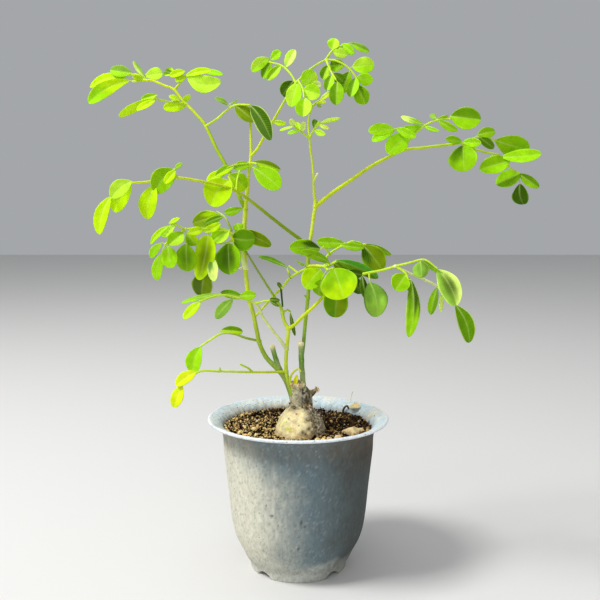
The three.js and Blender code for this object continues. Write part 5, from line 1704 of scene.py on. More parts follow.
@dataclass
class Trunk:
    """The swollen, pruned trunk base with its stumps and the young shoot beside them.

    Attributes:
        across: where the bulb's axis is seen, to the right of the pot's axis.
        depth: how far the bulb's axis stands in front of the pot's axis.
        outline: the bulb's radius and height, from the tip of its taproot up.
        stumps: across, up, depth and radius of points along its stumps.
        neck: heights between which the bulb turns into the scaly neck.
        groove: where the groove between the stumps, in painted shade, is seen right of the pot's axis.
        collar: across, up and depth of the places round the neck that carry knobs.
        spots: across, up and size of the dark spots on the bulb.
        crown: across, depth, up and radius of the wide stump's cut top.
        stub_end: across, up and depth of the side stub's frayed end.
        shoot: across, up, depth and radius of points along the curled shoot.
        voxel: how finely bulb and stumps grow together.
        crown_knobs: how many knobs lie on the cut top.
        bark_knobs: how many knobs lie on the side stub, and how many round the collar.
        hairs: how many frayed hairs the side stub has.
    """

    across: float = 0.6
    depth: float = 7.0
    outline: tuple[tuple[float, float], ...] = (
        (0.3, 34.2), (1.6, 35.4), (3.2, 44), (5.6, 55), (8.8, 64), (12.6, 71), (14.5, 77), (14.5, 81.5),
        (13.5, 85), (11.9, 88), (9.7, 91), (7.4, 93.8), (5.6, 96), (3.4, 98), (0.5, 98.8),
    )
    stumps: tuple[tuple[tuple[float, float, float, float], ...], ...] = (
        ((-0.2, 91, 8, 4.8), (-0.7, 96, 8.6, 4.3), (-0.8, 101, 8.6, 3.9), (-0.6, 106.8, 8.6, 3.8)),
        ((4.2, 90, 6, 4.2), (5.3, 96, 6, 2.9), (5.2, 101, 5.8, 2.7), (3.8, 104.6, 5.8, 2.2)),
        ((5.4, 100, 6, 1.7), (7.8, 102.4, 6, 1.5), (9.4, 104, 6.2, 1.3), (10.6, 104.6, 6.2, 0.9)),
    )
    neck: tuple[float, float] = (90, 95)
    groove: float = 3.0
    collar: tuple[tuple[float, float, float], ...] = (
        (-3.8, 96.6, 10.2), (-2.6, 94.4, 12.6), (7.6, 97.2, 7), (6.6, 95.4, 9.4), (3.2, 94.6, 12.4),
    )
    spots: tuple[tuple[float, float, float], ...] = (
        (-5.6, 87.3, 0.6), (-1, 90, 0.6), (0.3, 83.2, 0.5), (-2.4, 93.4, 0.8), (2.6, 79, 1.6),
        (6.2, 81.2, 1.1), (4.2, 78, 0.9),
    )
    crown: tuple[float, float, float, float] = (-0.7, 8.6, 108.8, 4.3)
    stub_end: tuple[float, float, float] = (10.4, 104.6, 6.4)
    shoot: tuple[tuple[float, float, float, float], ...] = (
        (-3.4, 105, 10.5, 0.75), (-4.7, 111.2, 11.5, 0.7), (-3.2, 114.5, 12, 0.62),
        (0.2, 116.7, 12.5, 0.55), (1.4, 115.4, 13, 0.45),
    )
    voxel: float = 0.36
    crown_knobs: int = 90
    bark_knobs: int = 34
    hairs: int = 9

    def rough_shape(self) -> Surface:
        """Bulb and stumps before they grow together.

        The bulb is its outline turned round its axis, with its radius times 1 + 0.035 sin(3a + 0.09z) +
        0.025 sin(5a - 0.2z) at the angle a and the height z. The stumps are round.

        Returns:
            All of them as one shape.
        """
        outline = smooth_line(np.array(self.outline), 0.8)
        angle = turns(72)
        radius, up = outline[:, :1], outline[:, 1:]
        swell = 1 + 0.035 * np.sin(3 * angle + 0.09 * up) + 0.025 * np.sin(5 * angle - 0.2 * up)
        radius = np.maximum(radius, 0.1) * (1 - self.depth / DISTANCE) * swell
        axis = seen(self.across, up[:, 0], self.depth)
        ends = np.stack([axis[0] - (0, 0, 0.3), axis[-1] + (0, 0, 0.2)])
        shapes = [closed_rings(axis[:, None] + around(radius, angle, 0.0), ends)]
        for stump in self.stumps:
            rows = smooth_line(np.array(stump), 0.8)
            shapes.append(tube(seen(*rows[:, :3].T), rows[:, 3], 24, np.ones(4)))
        return joined(shapes)

    def skin(self) -> Surface:
        """Bulb and stumps grown together, with bark relief and painted bark.

        The relief is noise of three sizes along the normals, plus warts low on the right and scales round
        the neck, less the groove between the stumps.

        Returns:
            The dressed skin.
        """
        remesh = {"mode": "VOXEL", "voxel_size": self.voxel * MM}
        smooth = {"factor": 0.6, "iterations": 6}
        points, normals, faces = worked_shape(self.rough_shape(), ("REMESH", remesh), ("SMOOTH", smooth))
        across, up = as_seen(points)
        neck = eased(up, *self.neck)
        right = eased(across + 0.25 * (up - 84), 1.5, 8) * (1 - neck)
        warts = np.maximum(noise(points, 1.9, 31), 0) ** 2
        scales = noise(points * (1, 1, 0.6), 1.5, 32)
        in_front = points[:, 1] < -self.depth
        groove = bell(across, self.groove, 0.7) * eased(up, 93, 96) * in_front
        relief = 0.22 * noise(points, 3.4, 33) + 0.1 * noise(points, 1.1, 34)
        relief = relief + 1.1 * warts * (0.3 + 0.7 * right) + 0.34 * scales * neck - 0.8 * groove
        points = points + normals * relief[:, None]
        return Surface.off_blade(points, faces, self.painted(across, up, points))

    def painted(self, across: np.ndarray, up: np.ndarray, points: np.ndarray) -> np.ndarray:
        """The bark's colours: sunlit cream on the left, grey-brown painted shade on the right, a scaly and
        darker neck, and painted shade in the groove between the stumps and on the neck behind it.

        Args:
            across: where each point is seen, to the right of the pot's axis.
            up: where each point is seen, above the floor.
            points: the points themselves.

        Returns:
            Linear colours, (n, 4).
        """
        mottle = noise(points, 2.6, 35)
        fine = noise(points, 0.9, 36)
        green = bell(across, -5.6, 1.8) * bell(up, 81, 1.3)
        green = np.maximum(green, 0.4 * bell(across, -8.6, 2.5) * bell(up, 84, 3))
        neck = eased(up + 1.2 * mottle, 91.5, 95)
        # Painted shade: the bark turns grey-brown towards the right.
        right = eased(across + 0.3 * (up - 84) + 1.5 * mottle, 2.5, 10)
        crevices = eased(fine, 0.12, 0.45) * np.maximum(0.5 * neck, right)
        collar = bell(up + mottle, 94, 2) * eased(fine + mottle, -0.3, 0.5)
        # Painted shade: the neck behind the groove and the groove itself are darker.
        behind = eased(across, self.groove, self.groove + 1.6) * neck
        groove = bell(across + 0.3 * mottle, self.groove, 0.8) * eased(up, 93, 96)
        flecks = eased(-fine + 0.12 * right + 0.2 * groove, 0.5, 0.72)
        in_front = points[:, 1] < -4
        spots = (bell(across, middle, size) * bell(up, height, size) for middle, height, size in self.spots)
        return coated(
            Tone.TRUNK_CREAM.linear,
            (Tone.TRUNK_OCHRE, 0.7 * eased(mottle, -0.1, 0.7)),
            (Tone.TRUNK_GREEN, 0.8 * green),
            (Tone.TRUNK_NECK, 0.9 * neck),
            (Tone.TRUNK_GREY, 0.85 * right * (1 - neck)),
            (Tone.TRUNK_DARK, 0.8 * crevices),
            (Tone.SOIL_BROWN, collar * (0.25 + 0.5 * eased(across, -1, 3))),
            (Tone.TRUNK_DARK, 0.6 * behind),
            (Tone.TRUNK_DARK, 0.85 * groove),
            (Tone.SOIL_WHITE, 0.75 * flecks),
            *((Tone.TRUNK_DARK, 0.85 * spot * in_front) for spot in spots),
            (Tone.SOIL_BROWN, 0.7 * (1 - eased(up, 72, 77))),
        )

    def cut_tops(self, chance: np.random.Generator) -> Surface:
        """Knobs on the wide stump's cut top, on the side stub and round the collar, and the stub's hairs.

        Args:
            chance: the source of their places and sizes.

        Returns:
            All of them as one shape.
        """
        middle, depth, top, radius = self.crown
        count = self.crown_knobs
        angle = chance.uniform(0, 2 * np.pi, count)
        reach = radius * np.sqrt(chance.uniform(0, 1, count))
        flat = around(reach, angle, 0.0) + (middle, depth, 0)
        crown = top + 1.1 * noise(flat, 2.0, 37) - 0.05 * reach**2
        knobs = seen(flat[:, 0], crown - chance.uniform(0, 1, count), flat[:, 1])
        tones = coated(Tone.PALE_CUT.linear, (Tone.TRUNK_OCHRE, chance.uniform(0, 1, count) ** 2))
        shapes = [lumps(knobs, chance.uniform(0.4, 1.3, count), tones, 2, chance, 0.32)]

        count = self.bark_knobs
        share = chance.uniform(0, 1, (count, 1))
        stub = (7.6, 103, 6.4) + share * (3, 1.9, 0) + chance.normal(0, 0.5, (count, 3))
        chosen = chance.integers(0, len(self.collar), count)
        collar = np.array(self.collar)[chosen] + chance.normal(0, 0.45, (count, 3))
        places = np.concatenate([stub, collar])
        tones = coated(Tone.TRUNK_DARK.linear, (Tone.TRUNK_OCHRE, chance.uniform(0, 0.9, 2 * count)))
        shapes.append(lumps(seen(*places.T), chance.uniform(0.35, 0.8, 2 * count), tones, 2, chance))

        root = np.array(self.stub_end)
        for turn in np.linspace(-1.2, 1.4, self.hairs):
            end = root + 1.9 * np.array([math.cos(turn), math.sin(turn), chance.uniform(-0.6, 0.9)])
            hair = smooth_line(np.stack([root, (root + end) / 2 + chance.normal(0, 0.15, 3), end]), 0.4)
            radii = np.linspace(0.36, 0.16, len(hair))
            shapes.append(tube(seen(*hair.T), radii, 6, Tone.PALE_CUT.linear))
        return joined(shapes)

    def build(
        self, bark: bpy.types.Material, leaf: bpy.types.Material, chance: np.random.Generator
    ) -> None:
        """Make the trunk's skin with its cut tops, and the young shoot with its leaf beside them.

        Args:
            bark: the trunk's material.
            leaf: the shoot's material.
            chance: the source of the small random differences.
        """
        skin = joined([self.skin(), self.cut_tops(chance)])
        piece("trunk_skin", skin, bark, ["trunk"])
        rows = smooth_line(np.array(self.shoot), 0.35)
        shoot = tube(seen(*rows[:, :3].T), rows[:, 3], 10, Tone.SHOOT.linear)
        young = Leaflet(-1.9, 106.5, -0.6, 113.5, 2.8, 1.2, -10, Tone.GOLD, fold=0.5)
        leaf_shapes = young.surfaces(np.array([-1.9, 105.5, 10.8]), chance)
        piece("young_shoot", joined([shoot, *leaf_shapes]), leaf, ["trunk"])


@dataclass
class Soil:
    """The potting mix: one body that fills the pot, with loose crumbs and fibres on top.

    Attributes:
        level: the height of its surface.
        radius: its radius at the surface.
        inside: radius and height down the pot's inside, from the top.
        crumb_height: how high the crumbs' waves stand.
        crumbs: how many loose crumbs lie on it.
        bits: how many larger bits of bark lie on it.
        flakes: across, towards the front and size of the larger pale flakes.
        edge_crumbs: how many crumbs lie where it meets the pot.
        stuck_crumbs: how many crumbs stick to the flare above it.
        fibres: how many fibres lie on it.
    """

    level: float = 81.0
    radius: float = 42.1
    inside: tuple[tuple[float, float], ...] = (
        (41.1, 70), (39, 50), (37.4, 32), (35, 20), (31.1, 12.2), (26.5, 5.8),
    )
    crumb_height: float = 0.9
    crumbs: int = 5000
    bits: int = 150
    flakes: tuple[tuple[float, float, float], ...] = (
        (10.6, 27.5, 2.3), (14.2, 26.5, 1.9), (-14.5, 27, 1.5), (-30.5, 12.5, 1.6), (-25.5, 3, 1.6),
        (-33.5, 8.5, 1.3),
    )
    edge_crumbs: int = 700
    stuck_crumbs: int = 900
    fibres: int = 46

    def top(self, x: np.ndarray, y: np.ndarray) -> np.ndarray:
        """The height of the surface: crossed waves of three sizes, noise, and a mound at the back right.

        Args:
            x: millimetres to the right of the pot's axis.
            y: millimetres behind it.

        Returns:
            Millimetres above the floor.
        """
        coarse = np.sin(0.41 * x + 1.3) * np.sin(0.47 * y - 0.6)
        middle = np.sin(0.93 * x - 0.5 * y + 2.1) * np.sin(0.88 * y + 0.42 * x)
        fine = np.sin(2.1 * x + 0.7) * np.sin(2.3 * y + 1.9)
        waves = self.crumb_height * (0.55 * coarse + 0.35 * middle + 0.2 * fine)
        flat = np.stack(np.broadcast_arrays(x, y, 0.0), axis=-1)
        rough = 0.7 * noise(flat, 3.1, 41) + 0.4 * noise(flat, 1.4, 42)
        mound = 2.6 * np.exp(-((x - 30) ** 2 + (y - 24) ** 2) / 128)
        return self.level + waves + rough + mound

    def tones(self, places: np.ndarray, chance: np.ndarray) -> np.ndarray:
        """Colours on the surface: ochre and tan at the left and front, lightened there by painted sunlight,
        and dark brown at the right and back.

        Args:
            places: where the points are, with x, y and z on the last axis.
            chance: a number from 0 to 1 for each point, which spreads light and dark crumbs.

        Returns:
            Linear colours, one for each point.
        """
        # Painted sunlight: crumbs at the left and front are lighter.
        sunny = 0.4 * eased(-0.7 * places[..., 0] - 0.7 * places[..., 1] + 10, -24, 34)
        return coated(
            Tone.SOIL_DARK.linear,
            (Tone.SOIL_BROWN, eased(chance, 0.2, 0.55)),
            (Tone.SOIL_TAN, eased(chance + sunny, 0.74, 0.94)),
            (Tone.SOIL_OCHRE, eased(chance + sunny, 0.9, 1.12)),
            (Tone.SOIL_WHITE, eased(chance, 0.982, 0.988)),
        )

    def bed(self, chance: np.random.Generator) -> Surface:
        """The body of the mix: its outline turned round the pot's axis, with an uneven top.

        Args:
            chance: the source of its light and dark spots.

        Returns:
            The closed body.
        """
        angle = turns(176)
        grid = around(self.radius * (1 - np.linspace(0, 1, 64, endpoint=False))[:, None], angle, 0.0)
        grid[..., 2] = self.top(grid[..., 0], grid[..., 1])
        side = np.array(self.inside[::-1])[:, :, None]
        grid = np.concatenate([around(side[:, 0], angle, side[:, 1]), grid])
        ends = np.array([[0, 0, self.inside[-1][1]], [0, 0, self.top(np.zeros(1), np.zeros(1))[0]]])
        spread = 0.18 + 0.3 * noise(grid, 2.2, 43) + chance.normal(0, 0.12, grid.shape[:2])
        return closed_rings(grid, ends, self.tones(grid, np.clip(spread, 0, 0.95)))

    def loose(self, chance: np.random.Generator) -> Surface:
        """Loose crumbs, bits of bark and flakes on the surface, and crumbs at its edge and on the flare.

        Args:
            chance: the source of their places, sizes and tones.

        Returns:
            All of them as one shape.
        """
        shapes = []
        for count, detail, low, high in ((self.crumbs, 1, 0.28, 0.72), (self.bits, 2, 0.7, 1.25)):
            reach = (self.radius - 0.6) * np.sqrt(chance.uniform(0, 1, count))
            centres = around(reach, chance.uniform(0, 2 * np.pi, count), 0.0)
            radii = low + (high - low) * chance.uniform(0, 1, count) ** 2
            centres[:, 2] = self.top(centres[:, 0], centres[:, 1]) + 0.25 * radii
            colours = self.tones(centres, chance.uniform(0, 1, count))
            shapes.append(lumps(centres, radii, colours, detail, chance, 0.4))

        across, front, size = np.array(self.flakes).T
        centres = np.stack([across, -front, self.top(across, -front) + 0.2 * size], axis=-1)
        colours = np.repeat(Tone.SOIL_OCHRE.linear[None], len(size), axis=0)
        shapes.append(lumps(centres, size, colours, 3, chance, 0.1))

        count = self.edge_crumbs
        angle = chance.uniform(0, 2 * np.pi, count)
        reach = chance.uniform(40.6, 42.9, count)
        centres = around(reach, angle, self.level + 0.6 + chance.uniform(0, 1.4, count))
        colours = self.tones(centres, chance.uniform(0, 0.9, count))
        shapes.append(lumps(centres, chance.uniform(0.4, 0.95, count), colours, 1, chance, 0.4))

        count = self.stuck_crumbs
        angle = np.radians(chance.normal(150, 44, count))
        climb = chance.uniform(0, 1, count) ** 2.4
        centres = around(42.4 + 4.2 * climb, angle, 82.6 + 4.9 * climb)
        radii = chance.uniform(0.16, 0.6, count) * (1 - 0.5 * climb)
        colours = self.tones(centres, chance.uniform(0.15, 0.95, count))
        shapes.append(lumps(centres, radii, colours, 1, chance))
        return joined(shapes)

    def fibre(self, chance: np.random.Generator) -> Surface:
        """One thin fibre that lies in a loose curve on the surface.

        Args:
            chance: the source of its place, length, bend and tone.

        Returns:
            The closed fibre.
        """
        reach, angle = 38 * math.sqrt(chance.uniform(0, 1)), chance.uniform(0, 2 * math.pi)
        heading = chance.uniform(0, 2 * math.pi)
        step = np.linspace(-0.5, 0.5, 7) * chance.uniform(4, 10)
        bend = chance.normal(0, 0.09) * step**2
        x = reach * math.cos(angle) + step * math.cos(heading) - bend * math.sin(heading)
        y = reach * math.sin(angle) + step * math.sin(heading) + bend * math.cos(heading)
        inward = np.minimum(1, 41 / np.hypot(x, y))
        x, y = x * inward, y * inward
        lift = chance.uniform(0.2, 1.4) * (1 - np.linspace(-1, 1, 7) ** 2)
        line = smooth_line(np.stack([x, y, self.top(x, y) + 0.3 + lift], axis=-1), 0.7)
        tone = Tone.SOIL_TAN if chance.uniform() < 0.5 else Tone.SOIL_BROWN
        return tube(line, np.full(len(line), chance.uniform(0.1, 0.22)), 5, tone.linear)

    def build(self, material: bpy.types.Material, chance: np.random.Generator) -> None:
        """Make bed, crumbs and fibres as one piece.

        Args:
            material: the mix's material.
            chance: the source of the random differences.
        """
        fibres = [self.fibre(chance) for _ in range(self.fibres)]
        surface = joined([self.bed(chance), self.loose(chance), *fibres])
        piece("potting_mix_crumbs", surface, material, ["soil"])


@dataclass
class Pebbles:
    """Loose stones on the mix.

    Attributes:
        stones: across, towards the front, length, width and height of each.
        sink: how high its middle stands, as a share of its height.
        breaks: how many broken faces cut each stone.
        power: how sharp its edges are.
    """

    stones: tuple[tuple[float, float, float, float, float], ...] = (
        (30.4, 10.6, 10, 7, 6.6), (22.2, 20.4, 5.2, 4.2, 3.8), (36.4, 5.2, 4.4, 3.8, 3.4),
        (32.6, 1.8, 4.2, 3.6, 3.2),
    )
    sink: float = 0.22
    breaks: int = 13
    power: int = 9

    def build(self, soil: Soil, material: bpy.types.Material, chance: np.random.Generator) -> None:
        """Make each stone as a ball cut by broken faces, with a painted tan skin.

        Along a direction u a face with normal n lies d / (n . u) away. The stone's reach is a soft least of
        all of these: the sum of their powers of -p, to the power of -1/p, where p is `power`, so that its
        edges are a little rounded.

        Args:
            soil: the mix that the stones lie on.
            material: their material.
            chance: the source of their faces.
        """
        corners, faces = ball(5)
        for k, (across, front, *sides) in enumerate(self.stones):
            normals = unit(chance.normal(size=(self.breaks, 3)))
            facing = np.clip(corners @ normals.T, 0.05, None)
            nearness = (chance.uniform(0.78, 1.05, self.breaks) / facing) ** -self.power
            reach = np.minimum(nearness.sum(axis=1) ** (-1 / self.power), 1.15)
            lumpy = reach * (1 + 0.04 * noise(corners + 3 * k, 0.35, 52))
            x, y, z = (corners * lumpy[:, None] * np.array(sides) / 2).T
            turn = 0.4 * across
            level = soil.top(np.array([across]), np.array([-front]))[0] + self.sink * sides[2]
            points = np.stack([
                x * math.cos(turn) - y * math.sin(turn) + across,
                x * math.sin(turn) + y * math.cos(turn) - front,
                z + level,
            ], axis=-1)
            share = 0.6 * eased(noise(points, 1.4, 53), -0.5, 0.8)
            surface = Surface.off_blade(
                points, [faces], coated(Tone.STONE_TAN.linear, (Tone.SOIL_TAN, share))
            )
            piece(f"stone_{k + 1}", surface, material, [f"pebble_{k + 1}"])


@dataclass
class Pot:
    """The bell-shaped plastic pot with its flared lip, foot ring and drain holes.

    Attributes:
        outside: radius and height of the outside, from the foot up to the rim.
        inside: radius and height of the inside, from the rim down to the floor.
        foot: radius and height of the foot ring, from its inner top round to its outer top.
        foot_radius: outer radius of the foot ring.
        foot_inner: inner radius of the foot ring.
        band: height of the foot band.
        floor: height of the floor's underside.
        notch: half width and height of each notch in the foot ring.
        drains: how many drain holes there are, their circle's radius and their own.
        pits: across, up and size of each pit in the front.
    """

    outside: tuple[tuple[float, float], ...] = (
        (28.8, 4.5), (29.5, 5.2), (30.1, 6), (33, 12), (35.2, 16), (36.9, 20), (38.4, 25.5), (39.4, 32),
        (41.2, 50), (43.4, 70), (44.6, 82), (45.9, 84.8), (48.4, 86.5), (51, 87.2), (52, 87.5),
        (52.5, 88.2), (52.2, 88.8), (51.6, 89.1),
    )
    inside: tuple[tuple[float, float], ...] = (
        (50.9, 89.05), (50.3, 88.8), (46.6, 87.3), (43.9, 85.1), (42.6, 82), (41.3, 70), (39.3, 50),
        (37.7, 32), (35.3, 20), (31.4, 12.2), (26.8, 5.5),
    )
    foot: tuple[tuple[float, float], ...] = (
        (25.4, 3.5), (25.4, 2.4), (25.4, 1.2), (25.4, 0.15), (25.55, 0), (26.7, 0), (27.8, 0), (28, 0.2),
        (28.2, 1.2), (28.4, 2.3), (28.65, 3.4),
    )
    foot_radius: float = 28.0
    foot_inner: float = 25.4
    band: float = 4.5
    floor: float = 3.5
    notch: tuple[float, float] = (5.0, 3.0)
    drains: tuple[int, float, float] = (6, 14.0, 3.0)
    pits: tuple[tuple[float, float, float], ...] = (
        (-15.6, 28.3, 1.3), (1.5, 24.4, 1.3), (-0.3, 7.9, 1.1), (-18.6, 34.8, 0.8), (3.6, 21.4, 0.6),
        (5, 19.6, 0.5),
    )

    def wall(self) -> Surface:
        """The pot as a turned shell, with arched notches in its foot ring.

        Within a notch every height below the band is pressed up: z becomes arch + z (band - arch) / band on
        the outside, and the same with the floor's underside inside. The arch is h (1 - (x / w)^2)^0.5.

        Returns:
            The closed shell, without the drain holes.
        """
        outside = smooth_line(np.array(self.outside), 1.1)
        inside = smooth_line(np.array(self.inside), 2.4)
        under = np.column_stack([np.linspace(1, 24.8, 14), np.full(14, self.floor)])
        over = np.column_stack([np.linspace(26.4, 1, 14), np.full(14, self.inside[-1][1])])
        rows = np.concatenate([under, self.foot, outside, inside, over])
        radius, height = rows[:, :1], rows[:, 1:]
        angle = turns(288)
        reach = self.foot_radius * np.sin(angle % (np.pi / 2) - np.pi / 4)
        half, rise = self.notch
        arch = rise * np.sqrt(np.clip(1 - (reach / half) ** 2, 0, 1))
        limit = np.where(radius <= self.foot_inner, self.floor, self.band)
        pressed = np.where(height < limit, arch + height * (limit - arch) / limit, height)
        number = np.arange(len(rows))[:, None]
        is_foot = (radius >= self.foot_inner) & (number < len(under) + len(self.foot))
        z = np.where(is_foot, np.maximum(pressed, height), height)
        ends = np.array([[0, 0, self.floor], [0, 0, self.inside[-1][1]]])
        return closed_rings(around(radius, angle, z), ends)

    def drilled(self) -> tuple[np.ndarray, list[np.ndarray]]:
        """The shell with its drain holes cut by round drills.

        Returns:
            Its points in millimetres, and its faces by their number of corners.
        """
        count, circle, radius = self.drains
        ring = around(radius, turns(24), 0.0)
        low, high = (0, 0, 2), (0, 0, 8)
        drills = [
            closed_rings(middle + np.stack([ring + low, ring + high]), middle + np.array([low, high]))
            for middle in around(circle, turns(count), 0.0)
        ]
        drill = plain_object("drills", joined(drills))
        holes = {"operation": "DIFFERENCE", "solver": "EXACT", "object": drill}
        points, _, faces = worked_shape(self.wall(), ("BOOLEAN", holes), ("TRIANGULATE", {"min_vertices": 5}))
        bpy.data.meshes.remove(drill.data)
        return points, faces

    def painted(self, points: np.ndarray) -> np.ndarray:
        """The plastic's colours: the wall's, and the inner flare's where a point lies inside the lip.

        Args:
            points: places on the pot.

        Returns:
            Linear colours, (n, 4).
        """
        x, y, z = points.T
        side = x / np.maximum(np.hypot(x, y), 0.1)
        rise, run = np.array(self.inside[::-1])[:, ::-1].T
        is_inner = (z > 70) & (np.hypot(x, y) < np.interp(z, rise, run) + 0.3)
        streak = noise(points * (1, 1, 0.3), 1.7, 61)
        fleck = noise(points, 0.8, 62)
        inner, outer = (paint(points, side, streak, fleck) for paint in (self.inner_flare, self.outer_wall))
        colour = np.where(is_inner[:, None], inner, outer)
        across, up = as_seen(points)
        gaps = ((np.hypot(1.4 * (across - middle), up - height), size) for middle, height, size in self.pits)
        return coated(
            colour,
            *((Tone.TRUNK_DARK, 0.85 * eased(-gap, -size, -0.4 * size) * (y < 0)) for gap, size in gaps),
        )

    def outer_wall(
        self, points: np.ndarray, side: np.ndarray, streak: np.ndarray, fleck: np.ndarray
    ) -> np.ndarray:
        """Cream at the left as painted light, blue-grey in the middle and dark at the right as painted shade.

        The blue reaches further left towards the lip, as the lip's painted shadow. Painted shade lies under
        the lip and a darker band lies above the foot; the foot is pale, and the lip is pale, partly bleached
        and partly a painted highlight on its top edge.

        Args:
            points: places on the pot.
            side: from -1 at the left of the pot to 1 at its right.
            streak: upright streaks of noise.
            fleck: fine noise.

        Returns:
            Linear colours, (n, 4).
        """
        reach, z = np.hypot(points[:, 0], points[:, 1]), points[:, 2]
        cloud = noise(points, 9, 63) + 0.4 * noise(points, 3.5, 66)
        # The lip's painted shadow: the blue reaches further left higher up the wall.
        lip_shadow = 0.02 * np.maximum(z - 56, 0)
        # Painted light: the cream left side.
        lit_left = eased(-side - lip_shadow + 0.1 * cloud + 0.07 * streak, -0.28, 0.76)
        # Painted shade: the dark right side.
        dark = eased(side + 0.1 * cloud, 0.1, 0.85)
        brown = eased(side + 0.2 * cloud, 0.3, 0.8) * eased(z + 2 * streak, 55, 80)
        foot = 1 - eased(z + 3 * cloud + 2 * streak, 3, 16)
        # Painted shade under the lip, and a darker band above the foot.
        lip_shade_and_foot_band = 0.8 * eased(z + 1.2 * cloud, 71, 78) + 0.6 * bell(z, 7.5, 2.6)
        # A pale top edge on the lip, partly bleached and partly a painted highlight.
        lip = eased(reach, 50.2, 51.4) * eased(z, 86.6, 87.4)
        return coated(
            Tone.POT_BLUE.linear,
            (Tone.POT_CREAM, lit_left),
            (Tone.POT_SHADE, dark),
            (Tone.SOIL_BROWN, 0.55 * brown),
            (Tone.POT_FOOT, 0.75 * foot * (1 - 0.3 * dark)),
            (Tone.POT_GRIME_AND_SHADE, np.clip(0.6 * lip_shade_and_foot_band * (0.75 + 0.5 * streak), 0, 1)),
            (Tone.POT_GRIME_AND_SHADE, 0.35 * eased(fleck, 0.35, 0.7)),
            (Tone.POT_LIP, 0.14 * eased(-fleck, 0.4, 0.75) * (1 - dark)),
            (Tone.POT_LIP, 0.95 * lip),
        )

    def inner_flare(
        self, points: np.ndarray, side: np.ndarray, streak: np.ndarray, fleck: np.ndarray
    ) -> np.ndarray:
        """Pale with stains, blue patches of painted skylight and dirt, and dusty with mix where it meets it.

        Args:
            points: places on the pot.
            side: from -1 at the left of the pot to 1 at its right.
            streak: upright streaks of noise.
            fleck: fine noise.

        Returns:
            Linear colours, (n, 4).
        """
        patches = noise(points, 6.5, 64) + 0.5 * noise(points, 2.2, 65)
        dusty = eased(-points[:, 2] - 1.5 * streak, -86.5, -83) * (0.65 - 0.35 * side)
        return coated(
            Tone.POT_INNER.linear,
            (Tone.POT_STAIN, 0.6 * eased(patches, 0, 0.8)),
            # Painted skylight: blue patches, a few more towards the right.
            (Tone.POT_SKYLIGHT, 0.5 * eased(-patches + 0.2 * side, 0.15, 0.8)),
            (Tone.POT_GRIME_AND_SHADE, 0.2 * eased(fleck, 0.3, 0.8)),
            (Tone.SOIL_BROWN, 0.75 * np.clip(dusty, 0, 1)),
        )

    def build(self, material: bpy.types.Material) -> None:
        """Make the pot as one piece.

        Args:
            material: the plastic.
        """
        points, faces = self.drilled()
        surface = Surface.off_blade(points, faces, self.painted(points))
        piece("pot_shell", surface, material, ["pot"], sharp_degrees=42)


@dataclass
class Litter:
    """A dry leaf scrap and a fibre that stand in the mix at the back right.

    Attributes:
        base: where the scrap starts.
        tip: where it ends.
        facing: the way it looks.
        width: its width.
        curl: points along the dark twist beside it.
        fibre: points along the standing fibre.
    """

    base: tuple[float, float, float] = (31.4, 30.6, 87.2)
    tip: tuple[float, float, float] = (37.8, 25.4, 87.7)
    facing: tuple[float, float, float] = (-0.3, -0.28, 0.91)
    width: float = 5.2
    curl: tuple[tuple[float, float, float], ...] = (
        (27.6, 31, 82.6), (28.4, 31, 86), (30.2, 30.6, 87.4), (31, 30.2, 86),
    )
    fibre: tuple[tuple[float, float, float], ...] = (
        (32.6, 38.5, 84), (32.8, 38.8, 88.6), (33.4, 39.4, 92), (34.4, 39, 95),
    )

    def build(self, dry: bpy.types.Material, soil: bpy.types.Material, chance: np.random.Generator) -> None:
        """Make the scrap with its twist and the fibre as two small pieces.

        Args:
            dry: the scrap's material.
            soil: the fibre's material.
            chance: the source of the scrap's small random differences.
        """
        base, tip, facing = (np.array(values) for values in (self.base, self.tip, self.facing))
        scrap = Blade(base, tip, unit(facing), self.width, bow=0.8, fold=0.25, arch=0.4)
        shell = scrap.surface(LeafPaint(Tone.DRY_LEAF, left=Tone.SOIL_OCHRE, rim=Tone.SOIL_TAN), chance)
        curl = smooth_line(np.array(self.curl), 0.4)
        twist = tube(curl, np.linspace(0.75, 0.5, len(curl)), 8, Tone.SOIL_BROWN.linear)
        piece("dry_leaf_scrap", joined([shell, twist]), dry)
        line = smooth_line(np.array(self.fibre), 0.5)
        fibre = tube(line, np.linspace(0.28, 0.14, len(line)), 6, Tone.DRY_LEAF.linear)
        piece("standing_fibre", fibre, soil)


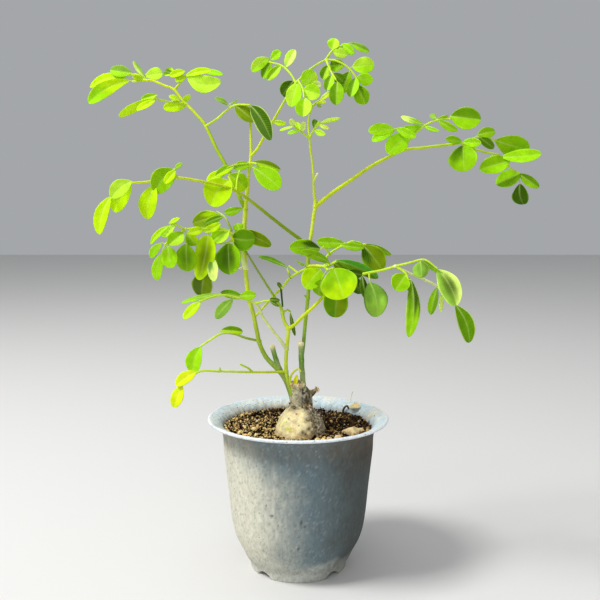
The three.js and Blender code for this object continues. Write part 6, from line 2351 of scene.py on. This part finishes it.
@dataclass
class Studio:
    """A pale floor, soft lights and the camera at the photo's place.

    Attributes:
        floor_side: side of the floor, in metres.
        floor_tone: its linear colour.
        sky_tone: the colour of the light from all round.
        sky_strength: how strong that light is.
        lights: name, place in metres, side and power in watts of each soft light.
        aim: where the lights look, in metres.
        lens: the camera's focal length, in millimetres.
        sensor: the width of its sensor, in millimetres.
        tilt: degrees that the camera looks up from straight down.
    """

    floor_side: float = 6.0
    floor_tone: tuple[float, float, float, float] = (0.7, 0.69, 0.67, 1.0)
    sky_tone: tuple[float, float, float, float] = (0.93, 0.96, 1.0, 1.0)
    sky_strength: float = 0.4
    lights: tuple[tuple[str, tuple[float, float, float], float, float], ...] = (
        ("key", (-0.92, -0.36, 1.42), 0.5, 25.0),
        ("front_fill", (-0.1, -1.5, 0.55), 1.2, 5.0),
        ("top", (0.1, 0.1, 1.6), 1.2, 4.0),
    )
    aim: tuple[float, float, float] = (0.0, 0.0, 0.15)
    lens: float = 50.0
    sensor: float = 36.0
    tilt: float = 83.4

    def build(self) -> None:
        """Set up the floor, the world, the lights and the camera."""
        self.lay_floor()
        world = bpy.data.worlds.new("studio")
        world.use_nodes = True
        sky = NodeTree(world.node_tree)
        glow = sky.add("ShaderNodeBackground", {"Color": self.sky_tone, "Strength": self.sky_strength})
        sky.add("ShaderNodeOutputWorld", {"Surface": glow.outputs[0]})
        scene = bpy.context.scene
        scene.world = world
        scene.view_settings.view_transform = "Standard"

        for name, place, side, power in self.lights:
            light = bpy.data.lights.new(name, "AREA")
            light.size = side
            light.energy = power
            lamp = placed(name, light)
            lamp.location = place
            x, y, z = np.array(place) - self.aim
            lamp.rotation_euler = (math.atan2(math.hypot(x, y), z), 0.0, math.atan2(x, -y))

        camera = bpy.data.cameras.new("photo_view")
        camera.lens = self.lens
        camera.sensor_width = self.sensor
        eye = placed("photo_view", camera)
        eye.location = (POT_AXIS + EYE) * MM
        eye.rotation_euler = (math.radians(self.tilt), 0.0, 0.0)
        scene.camera = eye

    def lay_floor(self) -> None:
        """Make the floor, a square with a matt pale material."""
        mesh = bpy.data.meshes.new("floor")
        half = self.floor_side / 2
        corners = [(-half, -half, 0), (half, -half, 0), (half, half, 0), (-half, half, 0)]
        mesh.from_pydata(corners, [], [(0, 1, 2, 3)])
        material = bpy.data.materials.new("pale_floor")
        material.use_nodes = True
        nodes = NodeTree(material.node_tree)
        shader = nodes.add("ShaderNodeBsdfPrincipled", {"Base Color": self.floor_tone, "Roughness": 0.9})
        nodes.add("ShaderNodeOutputMaterial", {"Surface": shader.outputs[0]})
        mesh.materials.append(material)
        floor = placed("floor", mesh)


def main() -> None:
    """Build, dress and report every piece, and light them."""
    logging.basicConfig(level=logging.INFO, format="%(message)s")
    grain_group()
    vein_group()
    skins = {finish.name: finish.material() for finish in FINISHES}
    soil = Soil()
    Pot().build(skins["weathered_plastic"])
    soil.build(skins["soil_grain"], np.random.default_rng(7))
    Pebbles().build(soil, skins["stone_skin"], np.random.default_rng(54))
    Litter().build(skins["dry_leaf_skin"], skins["soil_grain"], np.random.default_rng(8))
    Trunk().build(skins["bark_skin"], skins["leaf_skin"], np.random.default_rng(9))
    for node, runs in STEMS.items():
        Stem(node, runs).build(skins["stem_skin"])
    for seed, frond in enumerate(FRONDS, start=100):
        leaves = frond.surface(np.random.default_rng(seed))
        piece(frond.name + "_leaves", leaves, skins["leaf_skin"], [frond.name])
    Studio().build()


if __name__ == "__main__":
    main()
